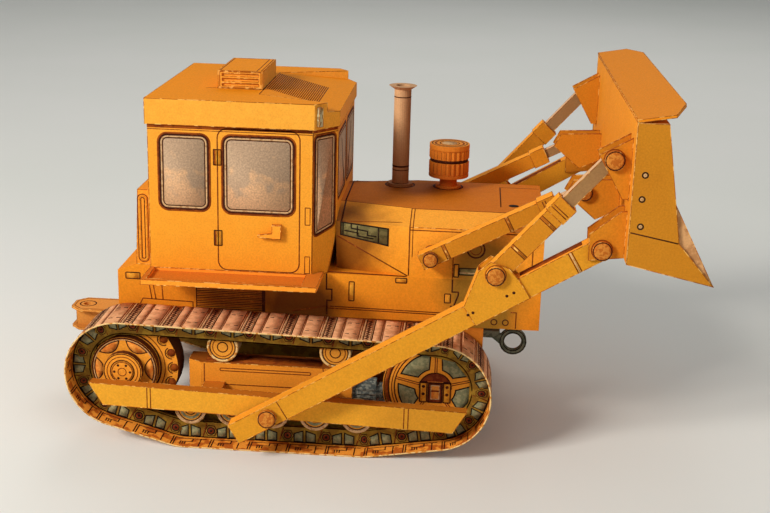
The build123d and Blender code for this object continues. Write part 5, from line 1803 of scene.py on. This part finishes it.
@dataclass
class Arms(Assembly):
    """Push arms, blade, brackets and the four cylinders with their printed folds and rivets."""

    trunnion: Spot = (-1.2, 14.6)
    angle: float = 31.1
    height: float = 6.2
    arm_face: float = 52.8
    cheek_face: float = 53.4
    blade_pin: Spot = (87.42, 68.06)
    brace: tuple[Spot, Spot] = ((60.06, 59.61), (88.82, 92.36))
    lift: tuple[Spot, Spot] = ((42.0, 57.2), (83.52, 78.66))
    brace_barrel: Triple = (52.5, 5.4, 27.0)
    lift_barrel: Triple = (33.4, 4.6, 38.5)
    collar_proud: float = 0.2
    knob_radius: float = 2.65
    small_knob: float = 2.25
    # Painted shadow: a thin brown ring round the rim of each knob.
    washer: Bars = ((2.76, Ink.BROWN, 0.26),)
    arm_bars: Bars = (
        (4.6, Ink.LINE, 0.28), (95.2, Ink.LINE, 0.28), (96.2, Ink.LINE, 0.28), (95.7, Ink.PALE, 0.4),
    )
    bracket_face: float = 53.7
    bracket_knob: float = 55.1
    trunnion_knob: float = 54.5
    lift_knobs: Spot = (35.1, 35.7)
    plate_face: float = 59.5
    rivets: tuple[Spot, ...] = ((53.2, 48.1), (54.5, 48.8), (63.3, 54.0), (65.1, 55.0))
    bolts: tuple[Spot, ...] = ((96.1, 90.0), (95.8, 83.7), (96.0, 76.5))
    crease: tuple[Spot, Spot] = ((93.6, 74.8), (106.0, 72.4))

    @staticmethod
    def both_sides(*nodes: str) -> list[str]:
        """Names of the left and the right node of each pair."""
        return [f"{node}_{side.word}" for node in nodes for side in Side]

    def knob(self, ink: Print, side: Side, y: float, place: Spot, radius: float) -> None:
        """Domed cap and dark rim on the end of a pin.

        Args:
            ink: Print that it goes into.
            side: Side of the machine.
            y: Face of the pin.
            place: Place of the pin.
            radius: Its radius.
        """
        face = self.frame.flank(side, y, place)
        ink.dome(face, radius - 0.35, 0.42)
        ink.rings(face, HUB, ((radius - 0.25, Ink.DARK, 0.36),))

    def arm(self, ink: Print, side: Side) -> None:
        """Lines and rivets on one push arm and the knob of its brace.

        Args:
            ink: Print that it goes into.
            side: Side of the machine.
        """
        half = self.height / 2 - 0.1
        face = self.frame.flank(side, self.arm_face, self.trunnion, self.angle)
        cheek = self.frame.flank(side, self.cheek_face)
        ink.bars(face, half, -half, self.arm_bars)
        ink.dots(cheek, self.rivets, 0.42, Ink.DARK)
        self.knob(ink, side, self.cheek_face + 1.4, self.brace[0], self.knob_radius)
        # Painted shadow round the brace's knob on the cheek.
        ink.rings(cheek, self.brace[0], self.washer)
        up = np.array(face.up)
        origin = np.array([self.frame.shift + self.trunnion[0], 0.0, self.trunnion[1]]) + up * self.height / 2
        top = Sheet(tuple(origin * MM), face.across, (0, 1, 0), tuple(up))
        low, high = sorted((side.value * 48.3, side.value * 51.4))
        ink.tile(top, (81.0, low), (99.5, high), Ink.BROWN)

    def barrel(
        self, ink: Print, side: Side, pins: tuple[Spot, Spot], size: Triple, marks: Sequence[float]
    ) -> None:
        """Double lines on a square barrel and the shade of its rear block.

        Args:
            ink: Print that it goes into.
            side: Side of the machine.
            pins: Rear and front pin of the cylinder.
            size: Outer face, height and length of the barrel.
            marks: Where its double lines lie.
        """
        (x, z), (ahead, over) = pins
        angle = math.degrees(math.atan2(over - z, ahead - x))
        y, height, length = size
        face = self.frame.flank(side, y, pins[0], angle)
        lip = self.frame.flank(side, y + self.collar_proud, pins[0], angle)
        half = height / 2 - 0.1
        for mark in marks:
            bars = ((mark - 0.45, Ink.LINE, 0.28), (mark + 0.45, Ink.LINE, 0.28), (mark, Ink.FOLD, 0.4))
            ink.bars(face, half, -half, bars)
        ink.bars(lip, half, -half, ((length - 3.4, Ink.LINE, 0.28), (length - 2.6, Ink.LINE, 0.28)))

    def blade(self, ink: Print, side: Side) -> None:
        """Crease and bolts of an end plate, and the knobs of its brackets.

        Args:
            ink: Print that it goes into.
            side: Side of the machine.
        """
        plate = self.frame.flank(side, self.plate_face)
        ink.line(plate, self.crease, Ink.DARK, 0.34)
        for bolt in self.bolts:
            ink.rings(plate, bolt, ((0.72, Ink.BLACK, 0.36), (0.3, Ink.PALE, 0.3)))
        for place in (self.blade_pin, self.brace[1]):
            self.knob(ink, side, self.bracket_knob, place, self.knob_radius)
            # Painted shadow round the knob on the bracket.
            ink.rings(self.frame.flank(side, self.bracket_face), place, self.washer)
        self.knob(ink, side, self.lift_knobs[1], self.lift[1], self.small_knob)

    def build(self) -> None:
        """Dress and print the arms, blade and cylinders."""
        frame = self.frame
        for finish, nodes in (
            (SideFinish("arm_card", (216, 146, 34), (244, 158, 42)), self.both_sides("push_arm")),
            (CardFinish("blade_card", (240, 152, 38), (226, 136, 30), 60.0, 110.0), ["mouldboard"]),
            (SideFinish("plate_card", (196, 126, 28), (236, 184, 110)), ["end_plates"]),
            (CardFinish("guard_card", (232, 138, 20), (226, 132, 20), 98.0, 110.0), ["spill_guard"]),
            (InkFinish("edge_card", (212, 160, 108), (186, 132, 84), 0.5, 3.0), ["cutting_edge"]),
            (
                SideFinish("bracket_card", (208, 130, 30), (190, 104, 28)),
                ["arm_brackets", "brace_brackets", "lift_brackets"],
            ),
            (
                SideFinish("tube_card", (206, 132, 30), (252, 162, 42)),
                self.both_sides("lift_barrel", "brace_barrel"),
            ),
            (
                SideFinish("rod_card", (156, 118, 76), (222, 180, 140)),
                self.both_sides("lift_rod", "brace_rod"),
            ),
            (SideFinish("pin_card", (196, 116, 38), (150, 78, 26)), ["lift_pins"]),
        ):
            frame.dress(finish.build(), *nodes)
        groups = {name: Print(self.palette) for name in ("arms", "blade", "root")}
        for side in Side:
            self.arm(groups["arms"], side)
            self.blade(groups["blade"], side)
            self.knob(groups["root"], side, self.trunnion_knob, self.trunnion, self.knob_radius)
            self.knob(groups["root"], side, self.lift_knobs[0], self.lift[0], self.small_knob)
            for name, pins, size, marks in (
                ("brace_barrel", self.brace, self.brace_barrel, (8.7, 19.6)),
                ("lift_barrel", self.lift, self.lift_barrel, (4.8, 24.2)),
            ):
                group = groups.setdefault(f"{name}_{side.word}", Print(self.palette))
                self.barrel(group, side, pins, size, marks)
        for body, ink in groups.items():
            ink.finish("pins" if body == "root" else f"{body}_lines", body, "yellow_card")


@dataclass
class Studio:
    """Pale floor, soft lamps and the camera."""

    frame: Frame
    eye: Triple = (51.8, -380.5, 164.4)
    yaw: float = -3.74
    pitch: float = 17.12
    roll: float = -1.63
    focal: float = 60.22

    def camera(self) -> None:
        """Camera whose axes follow from its yaw, its dip under level and its roll."""
        yaw, dip, roll = (math.radians(a) for a in (self.yaw, self.pitch, self.roll))
        forward = np.array([math.sin(yaw) * math.cos(dip), math.cos(yaw) * math.cos(dip), -math.sin(dip)])
        level = np.array([math.cos(yaw), -math.sin(yaw), 0.0])
        down = np.cross(forward, level)
        right = math.cos(roll) * level + math.sin(roll) * down
        down = -math.sin(roll) * level + math.cos(roll) * down
        data = bpy.data.cameras.new("camera")
        data.lens = self.focal
        data.sensor_width = 36.0
        data.clip_start = 0.01
        data.clip_end = 20.0
        camera = bpy.data.objects.new("camera", data)
        axes = Matrix([list(right), list(-down), list(-forward)]).transposed().to_4x4()
        place = Vector((self.eye[0] + self.frame.shift, self.eye[1], self.eye[2])) * MM
        camera.matrix_world = Matrix.Translation(place) @ axes
        bpy.context.scene.collection.objects.link(camera)
        bpy.context.scene.camera = camera

    def lamp(self, name: str, place: Triple, power: float, size: float, colour: Triple) -> None:
        """Square soft lamp that points at the middle of the model.

        Args:
            name: Name of the lamp.
            place: Its place in metres.
            power: Its power in watts.
            size: Its edge in metres.
            colour: Its colour.
        """
        data = bpy.data.lights.new(name, "AREA")
        data.energy, data.size, data.color = power, size, colour
        lamp = bpy.data.objects.new(name, data)
        spot = Vector(place)
        aim = (spot - Vector((0, 0, 0.05))).to_track_quat("Z", "Y")
        lamp.matrix_world = Matrix.Translation(spot) @ aim.to_matrix().to_4x4()
        bpy.context.scene.collection.objects.link(lamp)

    def floor(self) -> None:
        """Wide floor that sweeps up behind the model: flat, then a quarter turn, then upright."""
        turn = np.linspace(0, math.pi / 2, 16)
        profile = np.concatenate([
            [(-3.0, 0.0)], np.stack([1.6 + 0.8 * np.sin(turn), 0.8 - 0.8 * np.cos(turn)], 1), [(2.4, 4.0)],
        ])
        count = len(profile)
        across = np.repeat([-3.0, 3.0], count)[:, None]
        grid = np.hstack([across, np.tile(profile, (2, 1))])
        here = np.arange(count - 1)
        faces = np.stack([here, here + count, here + count + 1, here + 1], 1)
        mesh = Mesh()
        mesh.add(grid, [faces], False)
        floor = mesh.build("floor")
        wiring = Wiring("floor_paper", 0.9, 0.1)
        cloud = wiring.ripple(wiring.noise(180.0), 0.0, 1.0)
        colour = wiring.blend(cloud, (0.80, 0.81, 0.79, 1.0), (0.83, 0.83, 0.82, 1.0))
        wiring.join(colour, wiring.shader.inputs["Base Color"])
        floor.data.materials.append(wiring.material)
        floor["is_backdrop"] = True

    def build(self) -> None:
        """Set the floor, the lamps, the world and the camera."""
        self.floor()
        self.lamp("key", (-0.58, -0.56, 0.5), 7.6, 0.24, (1.0, 0.95, 0.86))
        self.lamp("fill", (0.8, -0.8, 0.4), 1.6, 0.7, (1.0, 0.96, 0.9))
        self.lamp("back", (0.1, 0.8, 0.9), 3.0, 0.7, (1.0, 0.98, 0.94))
        world = bpy.data.worlds.new("studio")
        world.use_nodes = True
        background = world.node_tree.nodes["Background"]
        background.inputs["Color"].default_value = (0.97, 1.0, 0.97, 1.0)
        background.inputs["Strength"].default_value = 0.28
        bpy.context.scene.world = world
        bpy.context.scene.view_settings.view_transform = "Standard"
        self.camera()


def main() -> None:
    """Build every sub-assembly in order and report each one."""
    logging.basicConfig(level=logging.INFO, format="%(name)s: %(message)s")
    for kept in list(bpy.data.objects):
        bpy.data.objects.remove(kept)
    frame = Frame()
    palette = Palette()
    parts = [Cab(frame, palette), Hull(frame, palette), Stacks(frame, palette)]
    parts += [Track(frame, palette, side) for side in Side]
    parts += [Arms(frame, palette)]
    for part in parts:
        part.build()
        LOG.info("built %s", type(part).__name__)
    folds = Folds(frame, palette)
    bodies = frame.loaded["record"]["behaviour"]["bodies"]
    skipped = (
        "precleaner", "exhaust", "link_rings", "track_band", "adjuster", "rollers", "sprocket", "idler",
        "tow_hook", "lift_pins", "chassis", "hull", "hood",
    )
    for body, nodes in bodies.items():
        for node in nodes:
            if not node.startswith(skipped):
                folds.strip(node, body, Ink.FOLD, "yellow_card")
    LOG.info("built the folds")
    Studio(frame).build()


if __name__ == "__main__":
    main()
